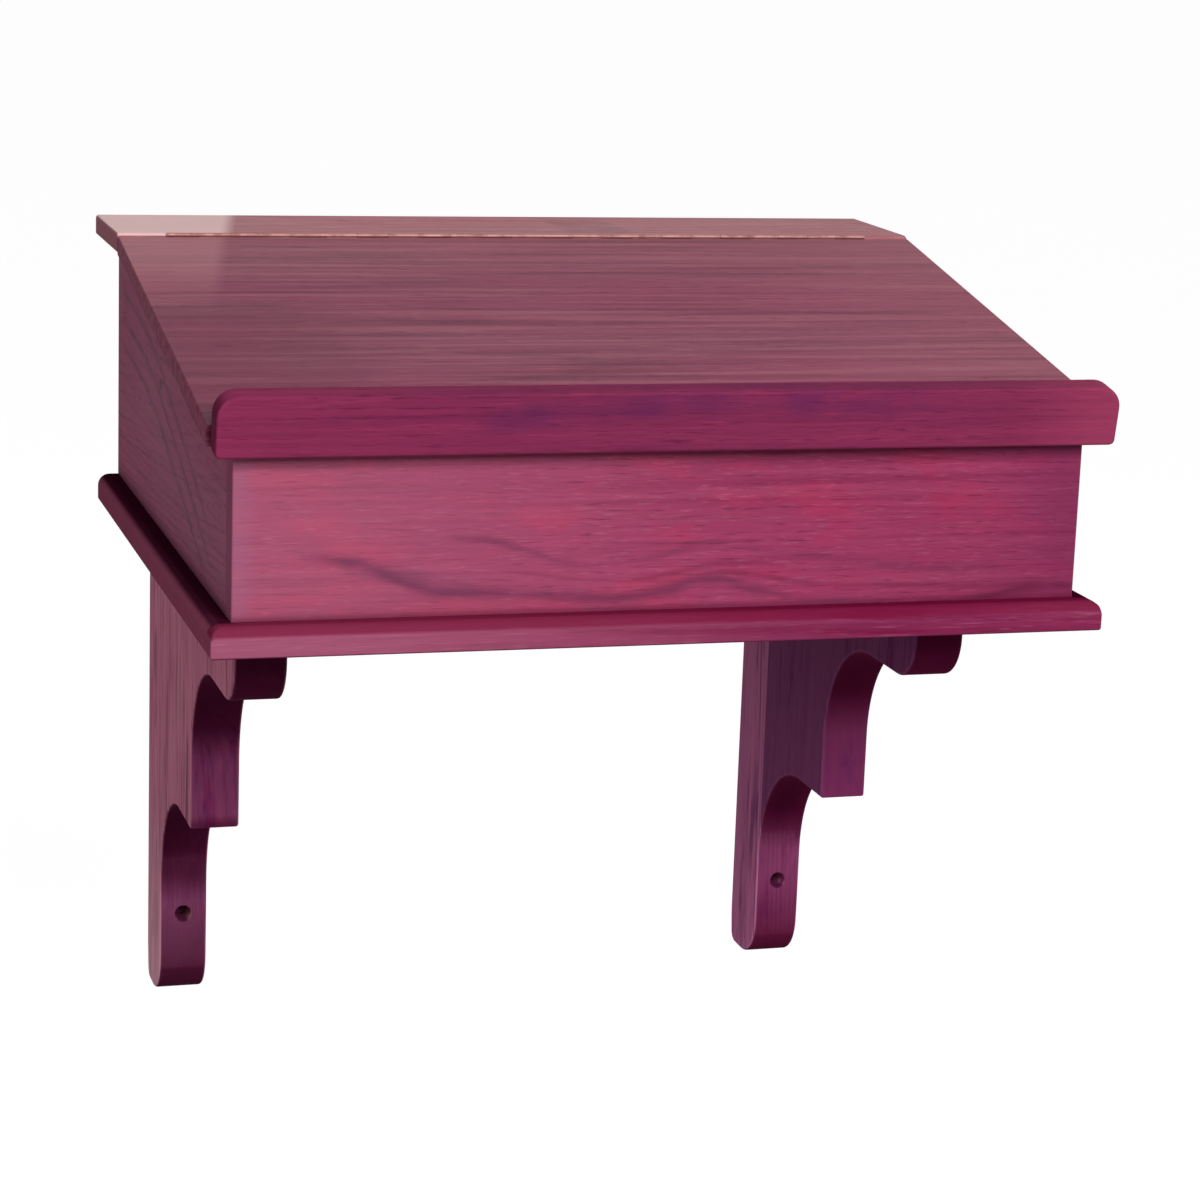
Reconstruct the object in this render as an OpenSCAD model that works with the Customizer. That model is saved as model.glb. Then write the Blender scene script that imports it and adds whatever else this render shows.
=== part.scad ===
// Wall-mounted registration stand: a shallow slant-top box with a hinged writing lid and a raised lip,
// on a rounded shelf that two step-cut brackets carry.
// Millimetres. X runs across, Y into the wall, Z up. The origin lies on the wall plane, at mid-width,
// on the line of the two upper wall screws.

/* [Case] */
// Width of the case over its two sides
case_w = 600; // [500:5:760]
// Depth of the case, from the wall to the face of the apron
case_d = 520; // [460:5:600]
// Height of the sides under the ledge, from the shelf up
side_h = 192; // [175:1:230]
// Thickness of the two sides
side_t = 19; // [17:0.5:24]
// Thickness of the front apron
apron_t = 19; // [16:0.5:26]
// Radius of the eased corners of the apron
apron_ease = 2; // [0.5:0.25:4]
// Thickness of the back panel
back_t = 6; // [4:0.5:9]
// Width of the rabbet for the back panel in each side
rabbet_w = 9.5; // [7:0.5:12]
// Height of the hanging rail
rail_h = 64; // [50:1:80]
// Thickness of the hanging rail
rail_t = 19; // [17:0.5:24]

/* [Shelf] */
// Thickness of the shelf
shelf_t = 21; // [18:0.5:26]
// How far the shelf stands out past each side of the case
shelf_side_out = 16; // [8:1:26]
// How far the shelf stands out in front of the apron
shelf_front_out = 17; // [8:1:26]
// Radius of the rounded upper edge of the shelf
shelf_round = 9; // [4:0.5:14]
// Radius of the eased lower edge of the shelf
shelf_ease = 2; // [0.5:0.25:3.5]

/* [Ledge and lid] */
// Distance from the wall to the crease between the ledge and the lid
crease_d = 119; // [95:1:150]
// How far the ledge and the lid stand out past each side of the case
top_side_out = 18; // [8:1:26]
// Thickness of the ledge
ledge_t = 15; // [14:0.5:20]
// Thickness of the lid
lid_t = 15; // [14.5:0.5:20]
// Radius of the upper edges at the ends of the ledge and the lid
top_round = 2; // [1:0.5:7]
// Radius of the eased edges along the crease
crease_ease = 5; // [2:0.25:6]
// Slope of the lid in degrees
lid_slope = 10.2; // [7:0.1:12]
// How far the face of the lid lies under the face of the ledge at the crease
lid_drop = 1.5; // [0:0.1:2]
// Clearance under the closed lid
lid_gap = 0.3; // [0.2:0.05:0.6]

/* [Lip] */
// Height of the lip
lip_h = 43; // [34:1:60]
// Thickness of the lip
lip_t = 19; // [15:0.5:24]
// How far the lip hangs below the underside of the lid
lip_under = 2.5; // [0:0.5:4]
// How far each end of the lip stops short of the end of the lid
lip_end_in = 3; // [0:0.5:10]
// Radius of the upper corners of the lip
lip_corner = 16; // [6:1:22]
// Radius of the lower corners of the lip
lip_foot = 4; // [1:0.5:8]
// Radius of the eased edges of the lip
lip_ease = 2.5; // [1:0.25:4]
// Clearance between the face of the apron and the lip
lip_clear = 1; // [0.5:0.25:4]

/* [Brackets] */
// Thickness of each bracket
bracket_t = 38; // [28:1:50]
// How far the centre of each bracket stands in from the side of the case
bracket_in = 45; // [42:1:110]
// Length of the arm under the shelf
arm_l = 389; // [365:1:430]
// Height of the arm
arm_h = 75; // [65:1:85]
// Depth of the middle step from the wall
mid_d = 205; // [185:1:220]
// Height of the middle step below the shelf
mid_h = 215.5; // [200:0.5:235]
// Depth of the leg from the wall
leg_d = 62; // [58:1:74]
// Height of the whole bracket
leg_h = 403; // [385:1:460]
// Radius of the two coves
cove_r = 90; // [70:1:95]
// Radius of the rounded nose of the arm
nose_r = 36; // [24:1:40]
// Radius of the rounded toe of the leg
toe_r = 36; // [24:1:38]
// Radius of the rounded heel of the leg
heel_r = 10; // [4:1:14]
// Width of the eased arrises
arris = 2.5; // [1:0.25:4]

/* [Wall fixing] */
// Distance between the two upper wall screws
hang_w = 406; // [300:1:440]
// Diameter of the holes for the wall screws
wall_hole_d = 6; // [5:0.5:7]
// Diameter of the counterbore in the face of each leg
leg_bore_d = 14; // [11:0.5:18]
// Length of plain hole left behind the counterbore
leg_grip = 37; // [25:1:45]
// Height of the leg's hole above the lower end of the bracket
leg_hole_up = 72; // [60:1:85]

/* [Hinge] */
// Diameter of the hinge pin
pin_d = 1.6; // [1.4:0.1:2.4]
// Running clearance round the pin
pin_clear = 0.05; // [0.02:0.01:0.08]
// Thickness of each leaf
leaf_t = 0.8; // [0.7:0.05:1.2]
// Gap between the two closed leaves
leaf_gap = 0.3; // [0.2:0.05:0.5]
// Width of each leaf below the pin's axis
leaf_w = 12.5; // [11.5:0.25:13.5]
// Distance from the pin's axis down to the leaf screws
leaf_screw_down = 8.5; // [8:0.1:9]
// Count of knuckles, odd so that both ends belong to the ledge's leaf
knuckles = 23; // [11:2:31]
// Gap between two knuckles
knuckle_gap = 0.3; // [0.2:0.05:0.5]
// Clearance between the knuckles and the ledge
knuckle_clear = 0.35; // [0.3:0.05:0.6]
// Count of screws in each leaf
leaf_screws = 11; // [5:2:13]

/* [Fasteners] */
// Diameter of the case screws
screw_d = 4.2; // [3.5:0.1:5]
// Diameter of their heads
screw_head_d = 8.4; // [7:0.1:10]
// Length of the screws through the shelf into the sides and the apron
shelf_screw_l = 50; // [40:1:60]
// Length of the screws through the shelf into the brackets
bracket_screw_l = 60; // [45:1:75]
// Diameter of the hinge screws
hinge_screw_d = 2.6; // [2.2:0.1:3]
// Diameter of their heads
hinge_head_d = 4.4; // [3.8:0.1:5]
// Length of the hinge screws
hinge_screw_l = 16; // [12:1:20]
// Diameter of the case dowels
dowel_d = 8; // [6:0.5:9]
// Length of the case dowels
dowel_l = 30; // [24:1:34]
// How deep the case dowels stand in the board whose face they enter
dowel_face = 10.5; // [8:0.5:11]
// Diameter of the lip's dowels
lip_dowel_d = 6; // [5:0.5:7]
// Length of the lip's dowels
lip_dowel_l = 24; // [18:1:28]
// Distance between two of the lip's dowels
lip_dowel_pitch = 130; // [90:5:145]
// Diameter of the wire brads
brad_d = 1.6; // [1.2:0.1:2]
// Length of the wire brads
brad_l = 20; // [14:1:25]
// Distance from the ends of each side board to its first and last screw
side_screw_in = 40; // [30:1:60]
// Distance from the wall and from the arm's nose to its first and last screw
arm_screw_in = 60; // [45:1:80]
// Height of the lowest brad above the shelf
brad_up = 20; // [12:1:40]
// Clearance round every screw, dowel and brad and at the end of its hole
fit = 0.05; // [0.03:0.01:0.1]

/* [Hidden] */
$fn = 48;

// Chords in each small rounded corner
arc_steps = 6;
// How far a cutting shape reaches past the face that it cuts
over = 1;

// Heights above the underside of the shelf
ledge_z = shelf_t + side_h;
top_z = ledge_z + ledge_t;
lid_z = top_z - lid_drop;
hang_z = ledge_z - rail_h / 2;
leg_hole_z = leg_hole_up - leg_h;

// Half widths and places across the case
half_in = case_w / 2 - side_t;
side_x = case_w / 2 - side_t / 2;
shelf_w = case_w + 2 * shelf_side_out;
shelf_d = case_d + shelf_front_out;
top_w = case_w + 2 * top_side_out;
bracket_x = case_w / 2 - bracket_in;
side_d = case_d - apron_t;

// Hinge, with its axis high enough for the knuckles to clear the eased edge of the ledge
crease_y = -crease_d;
edge_back = leaf_gap / 2 + leaf_t;
knuckle_r = pin_d / 2 + pin_clear + leaf_t;
pin_rise = sqrt(pow(crease_ease + knuckle_r + knuckle_clear, 2) - pow(edge_back + crease_ease, 2))
    - crease_ease;
pin_z = top_z + pin_rise;
hinge_l = 2 * half_in;
knuckle_l = hinge_l / knuckles;
leaf_screw_pitch = hinge_l / leaf_screws;
leaf_screw_z = pin_z - leaf_screw_down;

// Centres of the bracket's arcs in its side view, with its top edge at zero
nose_c = [nose_r - arm_l, nose_r - arm_h];
cove_1 = [-mid_d - cove_r, -arm_h - cove_r];
cove_2 = [-leg_d - cove_r, -mid_h - cove_r];
toe_c = [toe_r - leg_d, toe_r - leg_h];
heel_c = [-heel_r, heel_r - leg_h];

// Lid, in its own frame: origin on its face at the crease, -Y down the slope, Z square to the face
lip_low = -lid_t - lip_under;
lip_top = lip_low + lip_h;
lip_y = (case_d + lip_clear - crease_d - lip_low * sin(lid_slope)) / cos(lid_slope);
lip_w = top_w - 2 * lip_end_in;

// Places of the fasteners
side_screw_ys = [for (i = [0 : 3]) -side_screw_in - i * (side_d - 2 * side_screw_in) / 3];
apron_screw_xs = [for (i = [-1.5 : 1.5]) i * half_in / 2];
bracket_screw_ys = [for (i = [0 : 2]) -arm_screw_in - i * (arm_l / 2 - arm_screw_in)];
ledge_dowel_ys = [-crease_d / 4, -crease_d * 3 / 4];
apron_dowel_zs = [for (part = [0.25, 0.75]) shelf_t + part * (under_lid(-side_d, lid_gap) - shelf_t)];
rail_dowel_zs = [hang_z - rail_h / 4, hang_z + rail_h / 4];
brad_zs = [for (i = [0 : 3]) shelf_t + brad_up + i * (hang_z - shelf_t - brad_up) / 3];
hinge_screw_xs = [for (i = [0 : leaf_screws - 1]) (i - (leaf_screws - 1) / 2) * leaf_screw_pitch];
lip_dowel_xs = [for (i = [-2 : 2]) i * lip_dowel_pitch];

oak = [0.55, 0.19, 0.29];
dark_oak = [0.45, 0.13, 0.22];
beech = [0.80, 0.62, 0.42];
brass = [0.72, 0.56, 0.30];
steel = [0.62, 0.62, 0.64];

// Height of the lid's underside at a place y, for a lid lowered by a clearance
function under_lid(y, clearance) =
    lid_z + (y - crease_y) * tan(lid_slope) - lid_t / cos(lid_slope) - clearance;

function unit(v) = v / norm(v);

// Points that round the corner p = [x, y, radius] between its neighbours a and b
function corner(a, p, b) =
    let (
        at = [p[0], p[1]],
        u = unit([a[0], a[1]] - at),
        v = unit([b[0], b[1]] - at),
        half = acos(u * v) / 2,
        c = at + unit(u + v) * p[2] / sin(half),
        s = at + u * p[2] / tan(half) - c,
        e = at + v * p[2] / tan(half) - c,
        start = atan2(s[1], s[0]),
        turn = (atan2(e[1], e[0]) - start + 540) % 360 - 180
    )
    p[2] == 0 ? [at] : [
        for (i = [0 : arc_steps])
            c + p[2] * [cos(start + turn * i / arc_steps), sin(start + turn * i / arc_steps)]
    ];

// Outline through corners [x, y, radius], each rounded to its own radius
function rounded(points) = [
    for (i = [0 : len(points) - 1])
        each corner(points[(i + len(points) - 1) % len(points)], points[i], points[(i + 1) % len(points)])
];

// Moves the model so that the upper wall screws lie at height zero
module hung() translate([0, 0, -hang_z]) children();

// Frame of an outline drawn in Y and Z
module side_view() rotate([90, 0, 90]) children();

// Extrudes an outline drawn in Y and Z across the width w, centred
module across(w) side_view() translate([0, 0, -w / 2]) linear_extrude(w) children();

// Extrudes an outline drawn in X and Z forward from the wall by d
module forward(d) rotate([90, 0, 0]) linear_extrude(d) children();

// Puts the lid's own frame in place
module on_lid() translate([0, crease_y, lid_z]) rotate([lid_slope, 0, 0]) children();

// Points the Z axis along +Y, so that a screw driven down from Z = 0 runs forward from the wall
module facing_back() rotate([-90, 0, 0]) children();

// Points the Z axis along -Y
module facing_front() rotate([90, 0, 0]) children();

// Countersunk wood screw driven down from Z = 0, with a slot in its head
module wood_screw(d, l, head_d) {
    head_h = (head_d - d) / 2;
    slot_w = head_d / 7;
    difference() {
        union() {
            translate([0, 0, -head_h]) cylinder(h = head_h, d1 = d, d2 = head_d);
            translate([0, 0, -l]) cylinder(h = l - head_h / 2, d = d);
        }
        translate([-head_d, -slot_w / 2, -head_h / 2]) cube([2 * head_d, slot_w, head_h]);
    }
}

// Hole for that screw, with the fit clearance all round
module screw_hole(d, l, head_d) {
    head_h = (head_d - d) / 2;
    translate([0, 0, -head_h]) cylinder(h = head_h, d1 = d + 2 * fit, d2 = head_d + 2 * fit);
    translate([0, 0, -l - fit]) cylinder(h = l, d = d + 2 * fit);
    translate([0, 0, -fit / 4]) cylinder(h = over, d = head_d + 2 * fit);
}

// Dowel along Z, reaching up by "up" from Z = 0 and down by the rest of its length
module dowel(d, l, up) {
    bevel = d / 8;
    translate([0, 0, up - l]) cylinder(h = bevel, d1 = d - 2 * bevel, d2 = d);
    translate([0, 0, up - l + bevel]) cylinder(h = l - 2 * bevel, d = d);
    translate([0, 0, up - bevel]) cylinder(h = bevel, d1 = d, d2 = d - 2 * bevel);
}

// Hole for that dowel in both boards
module dowel_hole(d, l, up) translate([0, 0, up - l - fit]) cylinder(h = l + 2 * fit, d = d + 2 * fit);

// The ledge's dowels or their holes stand in the top edges of the sides
module at_ledge_dowels()
    for (x = [-side_x, side_x], y = ledge_dowel_ys) translate([x, y, ledge_z]) children();

// The apron's dowels lie in the front ends of the sides
module at_apron_dowels()
    for (x = [-side_x, side_x], z = apron_dowel_zs) translate([x, -side_d, z]) facing_front() children();

// The rail's dowels lie in its two ends
module at_rail_dowels()
    for (s = [-1, 1], z = rail_dowel_zs)
        translate([s * half_in, -back_t - rail_t / 2, z]) rotate([0, s * 90, 0]) children();

module at_side_screws()
    for (x = [-side_x, side_x], y = side_screw_ys) translate([x, y, 0]) mirror([0, 0, 1]) children();

module at_apron_screws()
    for (x = apron_screw_xs) translate([x, -case_d + apron_t / 2, 0]) mirror([0, 0, 1]) children();

module at_bracket_screws()
    for (x = [-bracket_x, bracket_x], y = bracket_screw_ys) translate([x, y, shelf_t]) children();

module at_brads()
    for (s = [-1, 1], z = brad_zs)
        translate([s * (half_in + rabbet_w / 2), 0, z]) facing_back() children();

module at_lip_dowels() for (x = lip_dowel_xs) translate([x, -lip_y, -lid_t / 2]) facing_front() children();

// The ledge's hinge screws are driven back into the ledge, the lid's forward into the lid
module at_ledge_hinge_screws()
    for (x = hinge_screw_xs) translate([x, crease_y + leaf_gap / 2, leaf_screw_z]) facing_front() children();

module at_lid_hinge_screws()
    for (x = hinge_screw_xs) translate([x, crease_y - leaf_gap / 2, leaf_screw_z]) facing_back() children();

module hinge_screw_hole() screw_hole(hinge_screw_d, hinge_screw_l, hinge_head_d);

module base_shelf() color(oak) hung() difference() {
    intersection() {
        across(shelf_w) polygon(rounded([
            [0, 0, 0], [0, shelf_t, 0], [-shelf_d, shelf_t, shelf_round], [-shelf_d, 0, shelf_ease]
        ]));
        forward(shelf_d) polygon(rounded([
            [-shelf_w / 2, 0, shelf_ease], [shelf_w / 2, 0, shelf_ease],
            [shelf_w / 2, shelf_t, shelf_round], [-shelf_w / 2, shelf_t, shelf_round]
        ]));
    }
    at_side_screws() screw_hole(screw_d, shelf_screw_l, screw_head_d);
    at_apron_screws() screw_hole(screw_d, shelf_screw_l, screw_head_d);
    at_bracket_screws() screw_hole(screw_d, bracket_screw_l, screw_head_d);
}

// Side board centred on x, its rabbet for the back panel towards the middle of the case
module side_board(x) color(oak) hung() difference() {
    translate([x, 0, 0]) across(side_t) polygon([
        [0, shelf_t], [0, ledge_z], [crease_y, ledge_z], [crease_y, under_lid(crease_y, lid_gap)],
        [-side_d, under_lid(-side_d, lid_gap)], [-side_d, shelf_t]
    ]);
    translate([-half_in - rabbet_w, -back_t, shelf_t - over])
        cube([2 * (half_in + rabbet_w), back_t + over, side_h + 2 * over]);
    at_ledge_dowels() dowel_hole(dowel_d, dowel_l, dowel_face);
    at_apron_dowels() dowel_hole(dowel_d, dowel_l, dowel_face);
    at_rail_dowels() dowel_hole(dowel_d, dowel_l, dowel_face);
    at_side_screws() screw_hole(screw_d, shelf_screw_l, screw_head_d);
    at_brads() translate([0, 0, -brad_l - fit]) cylinder(h = brad_l + over, d = brad_d + 2 * fit);
}

module left_side() side_board(-side_x);
module right_side() side_board(side_x);

module front_apron() color(oak) hung() difference() {
    intersection() {
        across(case_w) polygon([
            [-side_d, shelf_t], [-side_d, under_lid(-side_d, lid_gap)],
            [-case_d, under_lid(-case_d, lid_gap)], [-case_d, shelf_t]
        ]);
        linear_extrude(top_z) polygon(rounded([
            [-case_w / 2, -side_d, 0], [case_w / 2, -side_d, 0],
            [case_w / 2, -case_d, apron_ease], [-case_w / 2, -case_d, apron_ease]
        ]));
    }
    at_apron_dowels() dowel_hole(dowel_d, dowel_l, dowel_face);
    at_apron_screws() screw_hole(screw_d, shelf_screw_l, screw_head_d);
}

// Holes for the two upper wall screws, countersunk in the rail
module upper_wall_holes() {
    sink = wall_hole_d / 2;
    for (x = [-hang_w / 2, hang_w / 2]) translate([x, over, hang_z]) facing_front() {
        cylinder(h = back_t + rail_t + 2 * over, d = wall_hole_d);
        translate([0, 0, back_t + rail_t + over - sink])
            cylinder(h = sink + over, d1 = wall_hole_d, d2 = wall_hole_d + 2 * (sink + over));
    }
}

module back_panel() color(oak) hung() difference() {
    translate([-half_in - rabbet_w + fit, -back_t + fit, shelf_t])
        cube([2 * (half_in + rabbet_w - fit), back_t - fit, side_h]);
    upper_wall_holes();
    at_brads() translate([0, 0, -brad_l - fit]) cylinder(h = brad_l + over, d = brad_d + 2 * fit);
}

module hanging_rail() color(oak) hung() difference() {
    translate([-half_in, -back_t - rail_t, ledge_z - rail_h]) cube([2 * half_in, rail_t, rail_h]);
    upper_wall_holes();
    at_rail_dowels() dowel_hole(dowel_d, dowel_l, dowel_face);
}

// Ends of the ledge and of the lid, rounded on top, for a board of thickness t with its face at z
module board_ends(t, z, d) forward(d) polygon(rounded([
    [-top_w / 2, z - t, 1], [top_w / 2, z - t, 1], [top_w / 2, z, top_round], [-top_w / 2, z, top_round]
]));

module top_ledge() color(oak) hung() difference() {
    intersection() {
        across(top_w) polygon(rounded([
            [0, ledge_z, 0], [0, top_z, 0],
            [crease_y + edge_back, top_z, crease_ease], [crease_y + edge_back, ledge_z, 0]
        ]));
        board_ends(ledge_t, top_z, crease_d);
    }
    at_ledge_dowels() dowel_hole(dowel_d, dowel_l, dowel_face);
    at_ledge_hinge_screws() hinge_screw_hole();
}

// Quarter of a disc that starts at an angle
module quarter_disc(r, start) rotate(start) intersection() {
    circle(r);
    square(r);
}

// Side view of a bracket, with its top edge at zero
module bracket_outline() difference() {
    union() {
        polygon([
            [0, 0], [-arm_l, 0], [-arm_l, nose_c[1]], nose_c, [nose_c[0], -arm_h],
            [cove_1[0], -arm_h], cove_1, [-mid_d, cove_1[1]], [-mid_d, -mid_h],
            [cove_2[0], -mid_h], cove_2, [-leg_d, cove_2[1]], [-leg_d, toe_c[1]], toe_c,
            [toe_c[0], -leg_h], [heel_c[0], -leg_h], heel_c, [0, heel_c[1]]
        ]);
        translate(nose_c) quarter_disc(nose_r, 180);
        translate(toe_c) quarter_disc(toe_r, 180);
        translate(heel_c) quarter_disc(heel_r, 270);
    }
    translate(cove_1) circle(cove_r);
    translate(cove_2) circle(cove_r);
}

// Section that an eased arris loses: first how deep from the face, then how deep from the sawn edge
module arris_section() polygon([[-over, arris + over], [arris + over, -over], [-over, -over]]);

// Eases a straight stretch from p to q, with the wood on its left
module ease_line(p, q)
    translate([p[0], p[1], bracket_t / 2]) rotate([0, 0, atan2(q[1] - p[1], q[0] - p[0])])
        rotate([0, 90, 0]) linear_extrude(norm(q - p)) arris_section();

// Eases a quarter circle round c that starts at an angle, outward or in a cove
module ease_arc(c, r, start, cove)
    translate([c[0], c[1], bracket_t / 2]) rotate([0, 0, start]) rotate_extrude(angle = 90)
        translate([r, 0]) mirror([0, cove ? 1 : 0]) rotate(cove ? 0 : 180) arris_section();

// Everything that easing takes from one face of a bracket
module eased_arrises() {
    ease_line([-arm_l, 0], [-arm_l, nose_c[1]]);
    ease_arc(nose_c, nose_r, 180, false);
    ease_line([nose_c[0], -arm_h], [cove_1[0], -arm_h]);
    ease_arc(cove_1, cove_r, 0, true);
    ease_line([-mid_d, cove_1[1]], [-mid_d, -mid_h - over]);
    ease_line([-mid_d - over, -mid_h], [cove_2[0], -mid_h]);
    ease_arc(cove_2, cove_r, 0, true);
    ease_line([-leg_d, cove_2[1]], [-leg_d, toe_c[1]]);
    ease_arc(toe_c, toe_r, 180, false);
    ease_line([toe_c[0], -leg_h], [heel_c[0], -leg_h]);
    ease_arc(heel_c, heel_r, 270, false);
}

module bracket(x) color(dark_oak) hung() difference() {
    translate([x, 0, 0]) side_view() difference() {
        translate([0, 0, -bracket_t / 2]) linear_extrude(bracket_t) bracket_outline();
        eased_arrises();
        mirror([0, 0, 1]) eased_arrises();
    }
    translate([x, over, leg_hole_z]) facing_front() cylinder(h = leg_d + 2 * over, d = wall_hole_d);
    translate([x, -leg_grip, leg_hole_z]) facing_front() cylinder(h = leg_d, d = leg_bore_d);
    at_bracket_screws() screw_hole(screw_d, bracket_screw_l, screw_head_d);
}

module left_bracket() bracket(-bracket_x);
module right_bracket() bracket(bracket_x);

module ledge_dowels() color(beech) hung() at_ledge_dowels() dowel(dowel_d, dowel_l, dowel_face);
module apron_dowels() color(beech) hung() at_apron_dowels() dowel(dowel_d, dowel_l, dowel_face);
module rail_dowels() color(beech) hung() at_rail_dowels() dowel(dowel_d, dowel_l, dowel_face);
module side_screws() color(steel) hung()
    at_side_screws() wood_screw(screw_d, shelf_screw_l, screw_head_d);
module apron_screws() color(steel) hung()
    at_apron_screws() wood_screw(screw_d, shelf_screw_l, screw_head_d);
module bracket_screws() color(steel) hung()
    at_bracket_screws() wood_screw(screw_d, bracket_screw_l, screw_head_d);
module back_brads() color(steel) hung()
    at_brads() translate([0, 0, -brad_l]) cylinder(h = brad_l, d = brad_d);

// Leaf of the hinge behind its half of the gap, with the knuckles first, first + 2 and so on.
// It is drawn on the ledge's side of the crease.
module hinge_leaf(first) {
    relief = knuckle_r + knuckle_gap;
    root = (pin_d / 2 + pin_clear + knuckle_r) / 2;
    translate([-hinge_l / 2, leaf_gap / 2, -leaf_w]) cube([hinge_l, leaf_t, leaf_w - relief]);
    for (i = [first : 2 : knuckles - 1])
        translate([(i + 0.5) * knuckle_l - hinge_l / 2, 0, 0]) across(knuckle_l - knuckle_gap)
            difference() {
                union() {
                    circle(knuckle_r);
                    translate([leaf_gap / 2, -leaf_w]) square([leaf_t, leaf_w - root]);
                }
                circle(pin_d / 2 + pin_clear);
            }
}

module hinge_ledge_leaf() color(brass) hung() difference() {
    translate([0, crease_y, pin_z]) hinge_leaf(0);
    at_ledge_hinge_screws() hinge_screw_hole();
}

module hinge_lid_leaf() color(brass) hung() difference() {
    translate([0, crease_y, pin_z]) mirror([0, 1, 0]) hinge_leaf(1);
    at_lid_hinge_screws() hinge_screw_hole();
}

module hinge_pin() color(steel) hung()
    translate([-hinge_l / 2, crease_y, pin_z]) rotate([0, 90, 0]) cylinder(h = hinge_l, d = pin_d);

module ledge_hinge_screws() color(brass) hung() at_ledge_hinge_screws()
    translate([0, 0, -fit]) wood_screw(hinge_screw_d, hinge_screw_l - fit, hinge_head_d);

module lid_hinge_screws() color(brass) hung() at_lid_hinge_screws()
    translate([0, 0, -fit]) wood_screw(hinge_screw_d, hinge_screw_l - fit, hinge_head_d);

module lid_panel() color(oak) hung() difference() {
    on_lid() intersection() {
        across(top_w) polygon(rounded([
            [-edge_back / cos(lid_slope), 0, crease_ease], [-lip_y, 0, 0], [-lip_y, -lid_t, 0],
            [-edge_back / cos(lid_slope) - lid_t * tan(lid_slope), -lid_t, 0]
        ]));
        board_ends(lid_t, 0, lip_y);
    }
    at_lid_hinge_screws() hinge_screw_hole();
    on_lid() at_lip_dowels() dowel_hole(lip_dowel_d, lip_dowel_l, lip_dowel_l / 2 - over);
}

module lid_lip() color(dark_oak) hung() on_lid() difference() {
    intersection() {
        across(lip_w) polygon(rounded([
            [-lip_y, lip_low, 0], [-lip_y, lip_top, lip_ease],
            [-lip_y - lip_t, lip_top, lip_ease], [-lip_y - lip_t, lip_low, lip_ease]
        ]));
        forward(lip_y + lip_t) polygon(rounded([
            [-lip_w / 2, lip_low, lip_foot], [lip_w / 2, lip_low, lip_foot],
            [lip_w / 2, lip_top, lip_corner], [-lip_w / 2, lip_top, lip_corner]
        ]));
        translate([0, 0, lip_low]) linear_extrude(lip_h) polygon(rounded([
            [-lip_w / 2, -lip_y, 0], [lip_w / 2, -lip_y, 0],
            [lip_w / 2, -lip_y - lip_t, lip_ease], [-lip_w / 2, -lip_y - lip_t, lip_ease]
        ]));
    }
    at_lip_dowels() dowel_hole(lip_dowel_d, lip_dowel_l, lip_dowel_l / 2 - over);
}

module lip_dowels() color(beech) hung() on_lid() at_lip_dowels()
    dowel(lip_dowel_d, lip_dowel_l, lip_dowel_l / 2 - over);

base_shelf();
left_side();
right_side();
front_apron();
back_panel();
hanging_rail();
top_ledge();
left_bracket();
right_bracket();
ledge_dowels();
apron_dowels();
rail_dowels();
side_screws();
apron_screws();
bracket_screws();
back_brads();
hinge_ledge_leaf();
hinge_pin();
ledge_hinge_screws();
lid_panel();
lid_lip();
lip_dowels();
hinge_lid_leaf();
lid_hinge_screws();
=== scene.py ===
"""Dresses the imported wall-mounted registration stand and lights it for its picture.

The CAD model is the fixed frame: metres, +X across, +Y into the wall, +Z up, with the origin on the wall
plane on the line of the upper wall screws. The visible boards are rebuilt at the same places with rounded
arrises, what repeats (screws, hinge knuckles) comes from Geometry Nodes, and everything gets a procedural
finish.
"""
import logging
import math
from collections.abc import Callable, Sequence
from dataclasses import dataclass, field, replace
from enum import Enum
from functools import partial, reduce

import bmesh
import bpy
from mathutils import Matrix, Vector


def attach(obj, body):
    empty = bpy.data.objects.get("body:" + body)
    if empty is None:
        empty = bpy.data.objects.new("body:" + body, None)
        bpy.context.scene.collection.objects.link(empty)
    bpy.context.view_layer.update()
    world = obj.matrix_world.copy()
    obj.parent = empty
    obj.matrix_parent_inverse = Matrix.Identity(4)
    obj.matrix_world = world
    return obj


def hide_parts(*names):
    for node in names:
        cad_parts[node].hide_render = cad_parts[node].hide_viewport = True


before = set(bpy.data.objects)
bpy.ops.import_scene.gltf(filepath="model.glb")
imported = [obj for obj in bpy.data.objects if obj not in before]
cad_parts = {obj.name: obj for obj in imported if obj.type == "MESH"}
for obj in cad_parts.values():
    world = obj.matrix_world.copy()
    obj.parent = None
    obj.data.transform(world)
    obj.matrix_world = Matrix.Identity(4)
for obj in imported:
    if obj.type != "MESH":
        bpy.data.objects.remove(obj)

log = logging.getLogger("registration_stand")

Point = tuple[float, float]
Place = tuple[float, float, float]
Colour = tuple[float, float, float, float]
Socket = bpy.types.NodeSocket
Node = bpy.types.Node
Material = bpy.types.Material
Thing = bpy.types.Object
NOWHERE: Place = (0.0, 0.0, 0.0)
WHITE: Colour = (1.0, 1.0, 1.0, 1.0)


def srgb(red: float, green: float, blue: float) -> Colour:
    """Turns a colour written as 0 to 255 screen values into linear light.

    Args:
        red: Red, 0 to 255.
        green: Green, 0 to 255.
        blue: Blue, 0 to 255.

    Returns:
        The linear colour with full alpha.
    """
    parts = (value / 255 for value in (red, green, blue))
    return (*(part / 12.92 if part <= 0.04045 else ((part + 0.055) / 1.055) ** 2.4 for part in parts), 1.0)


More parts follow.
